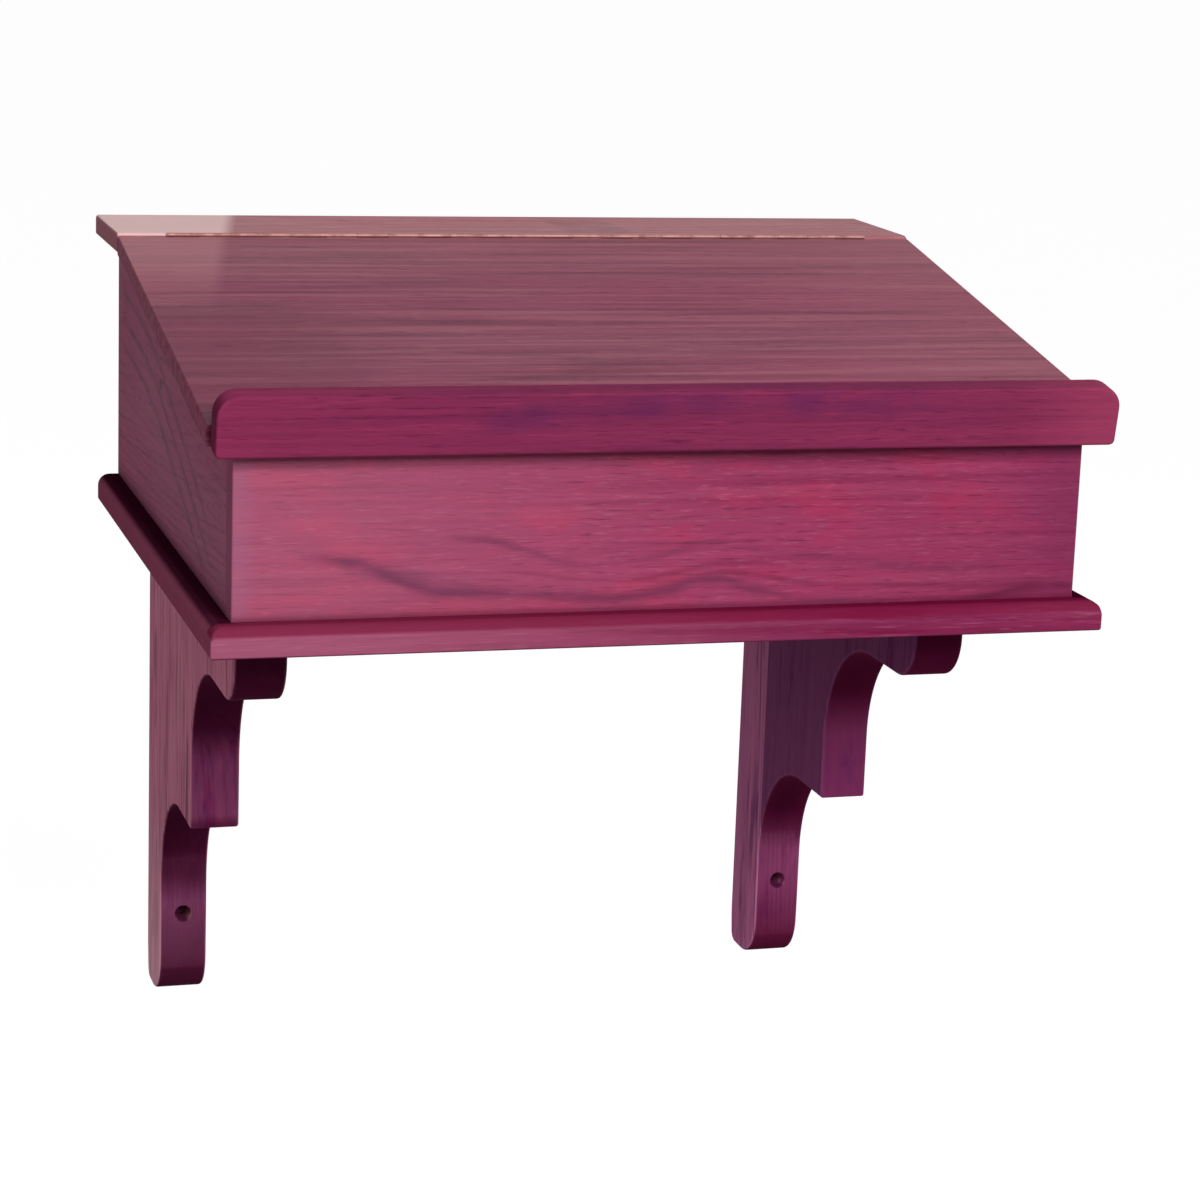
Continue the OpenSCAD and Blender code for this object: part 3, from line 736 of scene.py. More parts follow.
class Joinery:
    """Makes closed wooden shapes as plain meshes in the shared frame."""

    TOUCHING = 1e-5
    PARALLEL = 0.02
    LARGE_FACES = 100

    @staticmethod
    def finish(name: str, work: bmesh.types.BMesh) -> Thing:
        """Turns a bmesh into an object.

        Args:
            name: Name of the object.
            work: The bmesh, which is used up.

        Returns:
            The object at the origin, its faces outward.
        """
        bmesh.ops.recalc_face_normals(work, faces=work.faces)
        mesh = bpy.data.meshes.new(name)
        work.to_mesh(mesh)
        work.free()
        return linked(name, mesh)

    @staticmethod
    def settle(made: Thing) -> Thing:
        """Applies an object's modifiers, so that a plain mesh is left.

        Args:
            made: The object, with its modifiers.

        Returns:
            The same object without modifiers.
        """
        graph = bpy.context.evaluated_depsgraph_get()
        shape = made.evaluated_get(graph)
        mesh = bpy.data.meshes.new_from_object(shape, preserve_all_data_layers=True, depsgraph=graph)
        made.modifiers.clear()
        made.data = mesh
        mesh.name = made.name
        return made

    @staticmethod
    def smooth(made: Thing, angle: float = 40.0) -> Thing:
        """Shades smooth below an angle and weighs normals towards the large faces.

        Args:
            made: The object.
            angle: Degrees between faces from which an edge stays sharp.

        Returns:
            The same object.
        """
        for face in made.data.polygons:
            face.use_smooth = True
        made.data.set_sharp_from_angle(angle=math.radians(angle))
        weigh = made.modifiers.new("weigh", "WEIGHTED_NORMAL")
        weigh.keep_sharp = True
        weigh.weight = Joinery.LARGE_FACES
        return Joinery.settle(made)

    @staticmethod
    def mark_arrises(made: Thing) -> None:
        """Marks the vertices inside the rounded edges of a box-like board, for the paler edges: wear of the
        finish and a painted highlight.

        Args:
            made: The board, still in its own frame.
        """
        lows = [min(v.co[i] for v in made.data.vertices) for i in range(3)]
        highs = [max(v.co[i] for v in made.data.vertices) for i in range(3)]
        marks = made.data.attributes.new("arris", "FLOAT", "POINT")
        for vertex, mark in zip(made.data.vertices, marks.data):
            near = min(min(abs(vertex.co[i] - lows[i]), abs(vertex.co[i] - highs[i])) for i in range(3))
            mark.value = 1.0 if near > Joinery.TOUCHING else 0.0

    @classmethod
    def board(cls, name: str, outline: Sequence[Point], half_width: float, long_radii: Sequence[float],
              end_radii: Sequence[float], place: Matrix | None = None, centre: float = 0.0,
              steps: int = 5) -> Thing:
        """A board with the same section all along X and each edge rounded to its own radius.

        Args:
            name: Name of the piece.
            outline: Corners of the section in Y and Z.
            half_width: Half the length along X.
            long_radii: Radius of the long edge at each corner.
            end_radii: Radius of both end edges from each corner to the next.
            place: Matrix that puts the board into the shared frame.
            centre: Middle of the board along X.
            steps: Segments of each rounded edge.

        Returns:
            The board as a plain mesh with the attribute "arris".
        """
        work = bmesh.new()
        weights = work.edges.layers.float.new("bevel_weight_edge")
        largest = max(*long_radii, *end_radii)
        ends = [[work.verts.new((centre + s * half_width, y, z)) for y, z in outline] for s in (-1, 1)]
        near, far = ends
        following = [(i + 1) % len(outline) for i in range(len(outline))]
        for ring in ends:
            work.faces.new(ring)
        for i, j in enumerate(following):
            work.faces.new((near[i], near[j], far[j], far[i]))
        for i, j in enumerate(following):
            work.edges.get((near[i], far[i]))[weights] = long_radii[i] / largest
            for ring in ends:
                work.edges.get((ring[i], ring[j]))[weights] = end_radii[i] / largest
        made = cls.finish(name, work)
        bevel = made.modifiers.new("ease", "BEVEL")
        bevel.limit_method, bevel.offset_type, bevel.use_clamp_overlap = "WEIGHT", "OFFSET", False
        bevel.width, bevel.segments = largest, steps
        cls.settle(made)
        cls.mark_arrises(made)
        if place is not None:
            made.data.transform(place)
        return cls.smooth(made)

    @classmethod
    def plate(cls, name: str, outline: Sequence[Point], eased: Sequence[bool],
              lift: Callable[[float, Point], Vector], low: float, high: float, radius: float,
              steps: int = 5) -> Thing:
        """A plate cut to an outline, both its arrises rounded along the chosen stretches.

        Args:
            name: Name of the piece.
            outline: Corners of the plate, anticlockwise.
            eased: For each stretch from a corner to the next, whether its arrises are rounded.
            lift: Puts a height and a point of the outline into the shared frame.
            low: Height of the lower face.
            high: Height of the upper face.
            radius: Radius of the arrises.
            steps: Segments of each rounded arris.

        Returns:
            The plate as a plain mesh with the attribute "arris".
        """
        turns = [math.pi / 2 * step / steps for step in range(steps + 1)]
        ends = turns[0], turns[-1]
        arc = [(radius * (1 - math.sin(t)), radius * (1 - math.cos(t)), float(t not in ends))
               for t in turns]
        levels = [(low + rise, inset, edge) for rise, inset, edge in reversed(arc)]
        levels += [(high - rise, inset, edge) for rise, inset, edge in arc]
        work = bmesh.new()
        arris = work.verts.layers.float.new("arris")
        rings: list[list[bmesh.types.BMVert]] = []
        for height, inset, edge in levels:
            rings.append([work.verts.new(lift(height, p)) for p in cls._inset(outline, eased, inset)])
            for vertex in rings[-1]:
                vertex[arris] = edge
        for lower, upper in zip(rings, rings[1:]):
            for i in range(len(outline)):
                j = (i + 1) % len(outline)
                work.faces.new((lower[i], lower[j], upper[j], upper[i]))
        work.faces.new(list(reversed(rings[0])))
        work.faces.new(rings[-1])
        return cls.smooth(cls.finish(name, work), 35.0)

    @staticmethod
    def _inset(outline: Sequence[Point], eased: Sequence[bool], inset: float) -> list[Point]:
        """Moves the eased stretches of an anticlockwise outline inward.

        Args:
            outline: Corners of the outline.
            eased: Which stretches move.
            inset: How far they move.

        Returns:
            The new corners, one for each old one.
        """
        moved: list[Point] = []
        for i, (x, y) in enumerate(outline):
            before, after = outline[i - 1], outline[(i + 1) % len(outline)]
            first = Vector((x - before[0], y - before[1])).normalized()
            second = Vector((after[0] - x, after[1] - y)).normalized()
            n1, n2 = Vector((-first.y, first.x)), Vector((-second.y, second.x))
            d1, d2 = (inset if eased[i - 1] else 0.0), (inset if eased[i] else 0.0)
            det = n1.x * n2.y - n1.y * n2.x
            if abs(det) < Joinery.PARALLEL:
                step = (n1 * d1 + n2 * d2) / 2
            else:
                step = Vector((d1 * n2.y - d2 * n1.y, d2 * n1.x - d1 * n2.x)) / det
            moved.append((x + step.x, y + step.y))
        return moved

    @staticmethod
    def cut(made: Thing, work: bmesh.types.BMesh) -> Thing:
        """Cuts a closed shape out of a piece.

        Args:
            made: The piece.
            work: The shape, which is used up.

        Returns:
            The same piece.
        """
        cutter = Joinery.finish(made.name + "_bit", work)
        less = made.modifiers.new("cut", "BOOLEAN")
        less.operation, less.solver, less.object = "DIFFERENCE", "EXACT", cutter
        Joinery.settle(made)
        bpy.data.objects.remove(cutter)
        return made

    @staticmethod
    def rebate(made: Thing, low: Vector, high: Vector) -> Thing:
        """Cuts a square rebate.

        Args:
            made: The piece.
            low: Lowest corner of the rebate.
            high: Its highest corner.

        Returns:
            The same piece.
        """
        work = bmesh.new()
        size = Matrix.Diagonal((*(high - low), 1.0))
        bmesh.ops.create_cube(work, size=1.0, matrix=Matrix.Translation((low + high) / 2) @ size)
        return Joinery.smooth(Joinery.cut(made, work))

    @staticmethod
    def bore(made: Thing, x: float, z: float, radius: float, start: float, end: float,
             sides: int = 40) -> None:
        """Bores a round hole along Y.

        Args:
            made: The piece that gets the hole.
            x: Where the hole's axis runs, across.
            z: Where it runs, in height.
            radius: Radius of the hole.
            start: Y of one end of the cutter.
            end: Y of its other end.
            sides: Facets of the hole.
        """
        work = bmesh.new()
        turn = Matrix.Translation((x, (start + end) / 2, z)) @ Matrix.Rotation(math.pi / 2, 4, "X")
        bmesh.ops.create_cone(work, cap_ends=True, segments=sides, radius1=radius, radius2=radius,
                              depth=abs(end - start), matrix=turn)
        Joinery.cut(made, work)


@dataclass
class Dresser:
    """Puts finished pieces on their bodies in place of their CAD nodes."""

    pieces: list[Thing] = field(default_factory=list)

    def hang(self, made: Thing, body: str, finish: Material, node: str) -> None:
        """Gives a piece its finish, its body and the CAD node that it stands for.

        Args:
            made: The piece.
            body: CAD body that it rides on.
            finish: Its material.
            node: CAD node that it replaces.
        """
        made.data.materials.clear()
        made.data.materials.append(finish)
        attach(made, body)
        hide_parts(node)
        self.pieces.append(made)
        log.info("%s: %d faces, for %s", made.name, len(made.data.polygons), node)

    def hang_oak(self, made: Thing, finish: Oak, node: str, body: str = "case") -> None:
        """Hangs a piece of stained oak."""
        self.hang(made, body, finish.material(), node)

    def repaint(self, node: str, finish: Material) -> None:
        """Gives a CAD node that stays its finish.

        Args:
            node: Name of the node.
            finish: Its material.
        """
        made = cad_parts[node]
        made.data.materials.clear()
        made.data.materials.append(finish)
        log.info("%s: CAD node kept, finish %s", node, finish.name)


@dataclass
class Shelf:
    """The shelf under the case, rounded along its upper edge."""

    half_width: float = 0.316
    depth: float = 0.537
    low: float = -0.181
    high: float = -0.160
    top_radius: float = 0.009
    low_radius: float = 0.002
    corner: float = 0.0012

    def build(self, dresser: Dresser) -> None:
        """Makes the shelf and hangs it.

        Args:
            dresser: Where the piece is hung.
        """
        outline = [(0.0, self.low), (-self.depth, self.low), (-self.depth, self.high), (0.0, self.high)]
        made = Joinery.board("shelf_board", outline, self.half_width,
                             (0.0, self.low_radius, self.top_radius, 0.0),
                             (self.low_radius, self.corner, self.top_radius, 0.0), steps=7)
        # foot paints shade on the shelf's top round the foot of the case; the fade paints sheen, paler
        # towards the left end.
        finish = Oak("oak_shelf", BoardLie.FLAT, SCARLET, (0.0, -self.depth / 2, self.high),
                     pith_across=-0.10, pith_deep=0.09, taper=0.04, seed=3.3, roughness=0.68, specular=0.0,
                     wear=0.05, end_strength=0.2, foot=(0.300, 0.520),
                     fades=(Fade(-0.330, 0.20, 0.40, SCARLET.worn),))
        dresser.hang_oak(made, finish, "base_shelf")


@dataclass
class CaseBoards:
    """Sides, apron, back and rail of the case."""

    half_width: float = 0.300
    side_thick: float = 0.019
    low: float = -0.160
    top: float = 0.032
    crease: float = -0.119
    side_depth: float = 0.501
    depth: float = 0.520
    lid_face: float = 0.0455
    lid_thick: float = 0.015
    slope: float = 10.2
    gap: float = 0.0003
    corner: float = 0.002
    hair: float = 0.0005
    rebate_width: float = 0.0095
    back_thick: float = 0.006
    spare: float = 0.01

    def build(self, dresser: Dresser) -> None:
        """Makes the boards of the case and hangs them.

        Args:
            dresser: Where the pieces are hung.
        """
        right = Oak("oak_right_side", BoardLie.SIDE, UMBER, NOWHERE, pith_across=0.03, pith_deep=0.055,
                    taper=-0.10, seed=2.6, ring_strength=0.3, roughness=0.68, specular=0.08)
        arch, rung = (-0.122, -0.088, -0.058, -0.030, -0.016, -0.010), 0.021
        arches = tuple(Vein(-0.45, 0.0, tuple(height - rung * n for height in arch), 0.0034, 0.8)
                       for n in range(3))
        # The left side's fade is painted shade, darker along the foot of its outer face above the shelf.
        left = replace(right, name="oak_left_side", pith_across=-0.02, seed=2.2, veins=arches,
                       knot=Knot(-0.219, -0.0515, 0.006),
                       fades=(Fade(1.0, 2.0, 0.7, UMBER.pore, (-0.148, -0.1595)),))
        self._side(dresser, "left_side", -1, left)
        self._side(dresser, "right_side", 1, right)
        self._apron(dresser)
        for node, name, y, seed, pith in (("back_panel", "oak_back", -0.006, 8.1, 0.10),
                                          ("hanging_rail", "oak_rail", -0.025, 5.7, 0.05)):
            finish = Oak(name, BoardLie.UPRIGHT, UMBER, (0.0, y, 0.0), seed=seed, pith_deep=pith, wear=0.0)
            dresser.repaint(node, finish.material())

    def _under_lid(self, y: float) -> Point:
        """Finds the lid's underside, less the clearance.

        Args:
            y: Depth of the point.

        Returns:
            The point in Y and Z.
        """
        turn = math.radians(self.slope)
        rise = (y - self.crease) * math.tan(turn)
        return y, self.lid_face + rise - self.lid_thick / math.cos(turn) - self.gap

    def _side(self, dresser: Dresser, name: str, side: int, finish: Oak) -> None:
        """Makes one side board with the rebate for the back.

        Args:
            dresser: Where the piece is hung.
            name: CAD node of the board.
            side: -1 for the left board, 1 for the right one.
            finish: Its finish, whose origin is set here.
        """
        outline = [(0.0, self.low), (-self.side_depth, self.low), self._under_lid(-self.side_depth),
                   self._under_lid(self.crease), (self.crease, self.top), (0.0, self.top)]
        x = side * (self.half_width - self.side_thick / 2)
        hairs = [self.hair] * len(outline)
        made = Joinery.board(name + "_board", outline, self.side_thick / 2, hairs, hairs, centre=x, steps=2)
        inner = self.half_width - self.side_thick
        edges = sorted((side * (inner - self.spare), side * (inner + self.rebate_width)))
        Joinery.rebate(made, Vector((edges[0], -self.back_thick, self.low - self.spare)),
                       Vector((edges[1], self.spare, self.top + self.spare)))
        dresser.hang_oak(made, replace(finish, origin=(x, 0.0, 0.0)), name)

    def _apron(self, dresser: Dresser) -> None:
        """Makes the front apron, whose two front corners are rounded.

        Args:
            dresser: Where the piece is hung.
        """
        outline = [(-self.side_depth, self.low), (-self.depth, self.low), self._under_lid(-self.depth),
                   self._under_lid(-self.side_depth)]
        made = Joinery.board("apron_board", outline, self.half_width, [self.hair] * 4,
                             (self.hair, self.corner, self.hair, self.hair), steps=4)
        shadow = srgb(100, 38, 70)
        veins = (
            Vein(-0.27, 0.18, (-0.014, -0.019, -0.025, -0.038, -0.0435, -0.0455, -0.0475, -0.050, -0.0508,
                               -0.0455, -0.0395, -0.0470, -0.0555, -0.0585, -0.0600, -0.0605),
                 0.0042, 0.72, shadow),
            Vein(-0.19, 0.26, (-0.0055, -0.006, -0.0085, -0.016, -0.0265, -0.0268, -0.0225, -0.0160,
                               -0.0175, -0.0230, -0.0255, -0.0305, -0.0345, -0.0365, -0.0350, -0.0330),
                 0.0030, 0.5, shadow),
            Vein(-0.235, -0.13, (-0.022, -0.0275, -0.0325, -0.038, -0.040),
                 0.0062, 0.5, srgb(112, 56, 84)),
            Vein(-0.12, 0.10, (-0.029, -0.034, -0.0375, -0.038, -0.034, -0.029, -0.030, -0.036),
                 0.0018, 0.4),
            Vein(0.02, 0.30, (-0.034, -0.037, -0.044, -0.047, -0.048, -0.050, -0.049, -0.046),
                 0.0020, 0.45),
            Vein(0.18, 0.31, (-0.061, -0.0615, -0.058, -0.053, -0.0514, -0.0528), 0.0030, 0.75))
        # The first fade and the pale fourth one paint sheen towards the left end; the last paints a shadow
        # along the foot of the apron.
        fades = (Fade(-0.320, 0.10, 0.27, RED.worn), Fade(0.300, 0.215, 0.45, srgb(96, 26, 74)),
                 Fade(0.240, -0.060, 0.20, srgb(118, 22, 64)),
                 Fade(-0.298, -0.280, 0.35, srgb(150, 100, 128)),
                 Fade(1.0, 2.0, 0.6, RED.dark, (-0.0545, -0.0595)))
        finish = Oak("oak_apron", BoardLie.UPRIGHT, RED, (0.0, -self.depth, -0.10), pith_across=-0.42,
                     pith_deep=0.052, taper=0.030, ring=0.0048, ring_strength=0.22, sway=0.034, seed=2.2,
                     pore_strength=0.5, ray_strength=0.20, ray_long=70.0, veins=veins, fades=fades,
                     blush=srgb(172, 46, 84))
        dresser.hang_oak(made, finish, "front_apron")


@dataclass
class Ledge:
    """The flat ledge along the wall."""

    half_width: float = 0.318
    depth: float = 0.11805
    low: float = 0.032
    high: float = 0.047
    end_radius: float = 0.002
    crease_radius: float = 0.005
    hair: float = 0.001

    def build(self, dresser: Dresser) -> None:
        """Makes the ledge and hangs it.

        Args:
            dresser: Where the piece is hung.
        """
        outline = [(0.0, self.low), (-self.depth, self.low), (-self.depth, self.high), (0.0, self.high)]
        made = Joinery.board("ledge_board", outline, self.half_width, (0.0, 0.0, self.crease_radius, 0.0),
                             (self.hair, 0.0, self.end_radius, 0.0))
        # The ledge's fade paints a reflection: a pale patch at the left end with a slanted edge.
        finish = Oak("oak_ledge", BoardLie.FLAT, SALMON, (0.0, -self.depth / 2, self.high),
                     pith_across=0.02, pith_deep=0.12, taper=0.02, seed=6.6, ring_strength=0.4,
                     roughness=0.54, specular=0.28, wear=0.15, end_strength=0.75, fade_edges=False,
                     fades=(Fade(-0.2305, -0.2165, 0.95, SALMON.worn, slant=0.195),),
                     veins=(Vein(0.035, 0.095, (0.0, 0.0, 0.0), 0.06, 0.5),))
        dresser.hang_oak(made, finish, "top_ledge")


@dataclass
class Lid:
    """The sloping writing lid with its raised lip."""

    crease: float = -0.119
    face: float = 0.0455
    slope: float = 10.2
    half_width: float = 0.318
    thick: float = 0.015
    back: float = 0.00096526
    back_lean: float = 0.002699
    length: float = 0.411604
    end_radius: float = 0.002
    crease_radius: float = 0.005
    hair: float = 0.001
    lip_half: float = 0.315
    lip_thick: float = 0.019
    lip_low: float = -0.0175
    lip_high: float = 0.0255
    lip_corner: float = 0.016
    lip_foot: float = 0.004
    lip_ease: float = 0.0025

    def build(self, dresser: Dresser) -> None:
        """Makes the panel and the lip and hangs them.

        Args:
            dresser: Where the pieces are hung.
        """
        turn = Matrix.Rotation(math.radians(self.slope), 4, "X")
        place = Matrix.Translation((0.0, self.crease, self.face)) @ turn
        outline = [(-self.back - self.back_lean, -self.thick), (-self.length, -self.thick),
                   (-self.length, 0.0), (-self.back, 0.0)]
        panel = Joinery.board("lid_board", outline, self.half_width, (0.0, 0.0, 0.0, self.crease_radius),
                              (self.hair, 0.0, self.end_radius, 0.0), place)
        # The first fade paints a reflection, a pale patch at the left end; the others make the lid paler
        # near the crease and at the right end, and darker at the front left.
        fades = (Fade(-0.245, -0.230, 0.40, MAUVE.worn, (-0.20, -0.03), slant=0.2),
                 Fade(1.0, 2.0, 0.12, MAUVE.worn, (-0.14, -0.02)), Fade(0.318, 0.10, 0.10, MAUVE.worn),
                 Fade(-0.24, -0.14, 0.42, MAUVE.dark, (-0.13, -0.20)))
        origin = (0.0, self.crease, self.face)
        finish = Oak("oak_lid", BoardLie.FLAT, MAUVE, origin, self.slope, pith_across=-0.30, pith_deep=0.16,
                     taper=0.012, seed=4.8, ring=0.009, ring_share=0.35, ring_strength=0.5,
                     thread_strength=0.62, thread_size=(3.2, 110.0), end_strength=0.35, roughness=0.54,
                     fade_edges=False, fades=fades)
        dresser.hang_oak(panel, finish, "lid_panel", "lid")
        outline = self._lip_outline()
        lip = Joinery.plate("lip_board", outline, [True] * len(outline),
                            lambda height, p: place @ Vector((p[0], -height, p[1])),
                            self.length, self.length + self.lip_thick, self.lip_ease)
        cloud = Vein(-0.16, 0.20, (0.004, 0.013, 0.017, 0.018, 0.018), 0.010, 0.6, srgb(92, 34, 80))
        finish = Oak("oak_lip", BoardLie.UPRIGHT, CRIMSON, origin, self.slope, pith_across=-0.60,
                     pith_deep=-0.36, taper=0.0, sway=0.006, ring=0.0040, ring_strength=0.15, seed=7.4,
                     roughness=0.72, specular=0.06, wear=0.04, veins=(cloud,),
                     fades=(Fade(0.315, 0.22, 0.35, CRIMSON.worn),))
        dresser.hang_oak(lip, finish, "lid_lip", "lid")

    def _lip_outline(self) -> list[Point]:
        """Front view of the lip, anticlockwise, with small lower and large upper corners.

        Returns:
            The points along X and up the lid's own Z.
        """
        points: list[Point] = []
        for turn, across, up in ((-90, 1, -1), (0, 1, 1), (90, -1, 1), (180, -1, -1)):
            radius, steps = (self.lip_corner, 10) if up > 0 else (self.lip_foot, 6)
            height = self.lip_high - radius if up > 0 else self.lip_low + radius
            centre = across * (self.lip_half - radius), height
            points += arc_points(centre, radius, turn, turn + 90, steps)
        return points


@dataclass
class Bracket:
    """A step-cut bracket: an arm under the shelf, a middle step and a leg, joined by two coves."""

    name: str
    x: float
    finish: Oak
    thick: float = 0.038
    top: float = -0.181
    arm_length: float = 0.389
    arm_height: float = 0.075
    mid_depth: float = 0.205
    mid_height: float = 0.2155
    leg_depth: float = 0.062
    leg_height: float = 0.403
    cove: float = 0.090
    nose: float = 0.036
    toe: float = 0.036
    heel: float = 0.010
    arris: float = 0.0025
    hole: float = 0.003
    bore: float = 0.007
    grip: float = 0.037
    hole_up: float = 0.072
    spare: float = 0.01

    def outline(self) -> list[Point]:
        """Side view of the bracket in Y and Z, anticlockwise, its top at zero.

        Returns:
            The corners; the first and the last are on the wall.
        """
        def nose(radius: float, y: float, z: float) -> list[Point]:
            """The rounded lower front corner of the arm or the leg."""
            return arc_points((radius - y, radius - z), radius, 180, 270, 14)

        def cove(y: float, z: float) -> list[Point]:
            """The hollow from under one step to the front of the next."""
            return arc_points((-y - self.cove, -z - self.cove), self.cove, 90, 0, 26)

        return [(0.0, 0.0), (-self.arm_length, 0.0),
                *nose(self.nose, self.arm_length, self.arm_height), *cove(self.mid_depth, self.arm_height),
                (-self.mid_depth, -self.mid_height), *cove(self.leg_depth, self.mid_height),
                *nose(self.toe, self.leg_depth, self.leg_height),
                *arc_points((-self.heel, self.heel - self.leg_height), self.heel, 270, 360, 6)]

    def build(self, dresser: Dresser) -> None:
        """Makes the bracket, bores its holes and hangs it.

        Args:
            dresser: Where the piece is hung.
        """
        points = self.outline()
        eased = [0 < i < len(points) - 1 for i in range(len(points))]
        half = self.thick / 2
        made = Joinery.plate(self.name + "_board", points, eased,
                             lambda height, p: Vector((self.x + height, p[0], self.top + p[1])),
                             -half, half, self.arris)
        for radius, start in ((self.hole, self.spare), (self.bore, -self.grip)):
            Joinery.bore(made, self.x, self.top - self.leg_height + self.hole_up, radius, start,
                         -self.leg_depth - self.spare)
        dresser.hang_oak(made, self.finish, self.name)


class ShapeTree(NodePen):
    """A Geometry Nodes tree with named inputs, which draws solids and is run into a plain mesh."""

    FLAT_BELOW = 0.6

    def __init__(self, name: str, inputs: dict[str, object]) -> None:
        """Opens the tree.

        Args:
            name: Name of the piece that it makes.
            inputs: Named inputs with their values; the kind of each follows from its value.
        """
        super().__init__(bpy.data.node_groups.new(name + "_tree", "GeometryNodeTree"))
        self.name, self.inputs = name, inputs
        face = self.tree.interface
        face.new_socket("Geometry", in_out="OUTPUT", socket_type="NodeSocketGeometry")
        self.keys = {key: face.new_socket(key, in_out="INPUT", socket_type=self._kind(value)).identifier
                     for key, value in inputs.items()}
        self.size = self.add("NodeGroupInput").outputs

    @staticmethod
    def _kind(value: object) -> str:
        """Socket type for a value."""
        kinds = {Material: "Material", int: "Int", float: "Float"}
        return "NodeSocket" + kinds.get(type(value), "Vector")

    def move(self, shape: Socket, step: object = NOWHERE, turn: object = NOWHERE) -> Socket:
        """Turns a shape and moves it."""
        inputs = {"Geometry": shape, "Translation": step, "Rotation": turn}
        return self.add("GeometryNodeTransform", inputs).outputs[0]

    def lift(self, shape: Socket, height: object) -> Socket:
        """Moves a shape up."""
        return self.move(shape, self.vector(0.0, 0.0, height))

    def cube(self, x: object, y: object, z: object) -> Socket:
        """A block round the origin."""
        return self.add("GeometryNodeMeshCube", {"Size": self.vector(x, y, z)}).outputs[0]

    def cone(self, low: object, high: object, depth: object) -> Socket:
        """A cone that stands on the origin, from its lower radius to its upper one."""
        inputs = {"Vertices": 32, "Radius Top": high, "Radius Bottom": low, "Depth": depth}
        return self.add("GeometryNodeMeshCone", inputs).outputs[0]

    def rod(self, radius: object, depth: object, sides: int = 32, turn: Place = NOWHERE) -> Socket:
        """A cylinder round the origin, upright before it is turned."""
        inputs = {"Vertices": sides, "Radius": radius, "Depth": depth}
        return self.move(self.add("GeometryNodeMeshCylinder", inputs).outputs[0], turn=turn)

    def gather(self, node: Node, socket: str, *shapes: Socket) -> Socket:
        """Links shapes to one input of a node that takes several.

        Args:
            node: The node.
            socket: Name of the input.
            *shapes: What is linked to it.

        Returns:
            The node's first output.
        """
        for shape in shapes:
            self.tree.links.new(shape, node.inputs[socket])
        return node.outputs[0]

    def union(self, *solids: Socket) -> Socket:
        """Solids that overlap, as one."""
        return self.gather(self.add("GeometryNodeMeshBoolean", operation="UNION"), "Mesh 2", *solids)

    def carve(self, solid: Socket, cutter: Socket) -> Socket:
        """A solid less another."""
        inputs = {"Mesh 1": solid, "Mesh 2": cutter}
        return self.add("GeometryNodeMeshBoolean", inputs, operation="DIFFERENCE").outputs[0]

    def copies(self, points: Socket, shape: Socket) -> Socket:
        """A copy of a shape on every point."""
        copied = self.add("GeometryNodeInstanceOnPoints", {"Points": points, "Instance": shape}).outputs[0]
        return self.add("GeometryNodeRealizeInstances", {0: copied}).outputs[0]

    def row(self, count: Socket, start: Socket, pitch: Socket, shape: Socket) -> Socket:
        """Copies of a shape in a row along X."""
        inputs = {"Count": count, "Start Location": start, "Offset": self.vector(pitch, 0.0, 0.0)}
        return self.copies(self.add("GeometryNodeMeshLine", inputs).outputs[0], shape)

    def run(self, shape: Socket) -> Thing:
        """Ends the tree with shading and material, and runs it on an empty mesh.

        Args:
            shape: What the tree makes, in the shared frame.

        Returns:
            The result as a plain mesh at the origin.
        """
        real = self.add("GeometryNodeRealizeInstances", {0: shape}).outputs[0]
        inputs = {0: self.add("GeometryNodeInputMeshEdgeAngle").outputs[0], 1: self.FLAT_BELOW}
        calm = self.add("FunctionNodeCompare", inputs, operation="LESS_THAN").outputs[0]
        inputs = {"Geometry": real, "Shade Smooth": calm}
        smooth = self.add("GeometryNodeSetShadeSmooth", inputs, domain="EDGE").outputs[0]
        inputs = {"Geometry": smooth, "Material": self.size["Material"]}
        self.add("NodeGroupOutput", {0: self.add("GeometryNodeSetMaterial", inputs).outputs[0]})
        made = linked(self.name, bpy.data.meshes.new(self.name))
        nodes = made.modifiers.new("make", "NODES")
        nodes.node_group = self.tree
        for key, value in self.inputs.items():
            nodes[self.keys[key]] = value
        return Joinery.settle(made)


@dataclass(frozen=True)
class ScrewRows:
    """Countersunk, slotted wood screws in a regular grid, driven down the grid's own Z axis."""

    name: str
    columns: int
    rows: int
    width: float
    depth: float
    centre: Place
    turn: Place
    head: float
    shank: float
    length: float
    tip: float = 3.0
    point: float = 0.08
    slot_long: float = 2.4
    slot_wide: float = 0.28

    def make(self, finish: Material) -> Thing:
        """Builds the tree and runs it.

        Args:
            finish: Material of the screws.

        Returns:
            All screws as one mesh.
        """
        tree = ShapeTree(self.name, {
            "Columns": self.columns, "Rows": self.rows, "Width": self.width, "Depth": self.depth,
            "Centre": self.centre, "Turn": self.turn, "Head": self.head, "Shank": self.shank,
            "Length": self.length, "Material": finish})
        head, shank, length = (tree.size[key] for key in ("Head", "Shank", "Length"))
        sink, tip = tree.minus(head, shank), tree.times(shank, self.tip)
        half_sink = tree.times(sink, 0.5)
        body = tree.minus(tree.minus(length, tip), half_sink)
        drop = tree.times(tree.plus(tree.times(body, 0.5), half_sink), -1.0)
        point = tree.cone(tree.times(shank, self.point), shank, tip)
        screw = tree.carve(
            tree.union(tree.lift(tree.cone(shank, head, sink), tree.times(sink, -1.0)),
                       tree.lift(tree.rod(shank, body), drop),
                       tree.lift(point, tree.times(length, -1.0))),
            tree.cube(tree.times(head, self.slot_long), tree.times(head, self.slot_wide), sink))
        grid = tree.add("GeometryNodeMeshGrid", {
            "Size X": tree.size["Width"], "Size Y": tree.size["Depth"],
            "Vertices X": tree.size["Columns"], "Vertices Y": tree.size["Rows"]})
        rows = tree.copies(grid.outputs[0], screw)
        return tree.run(tree.move(rows, tree.size["Centre"], tree.size["Turn"]))


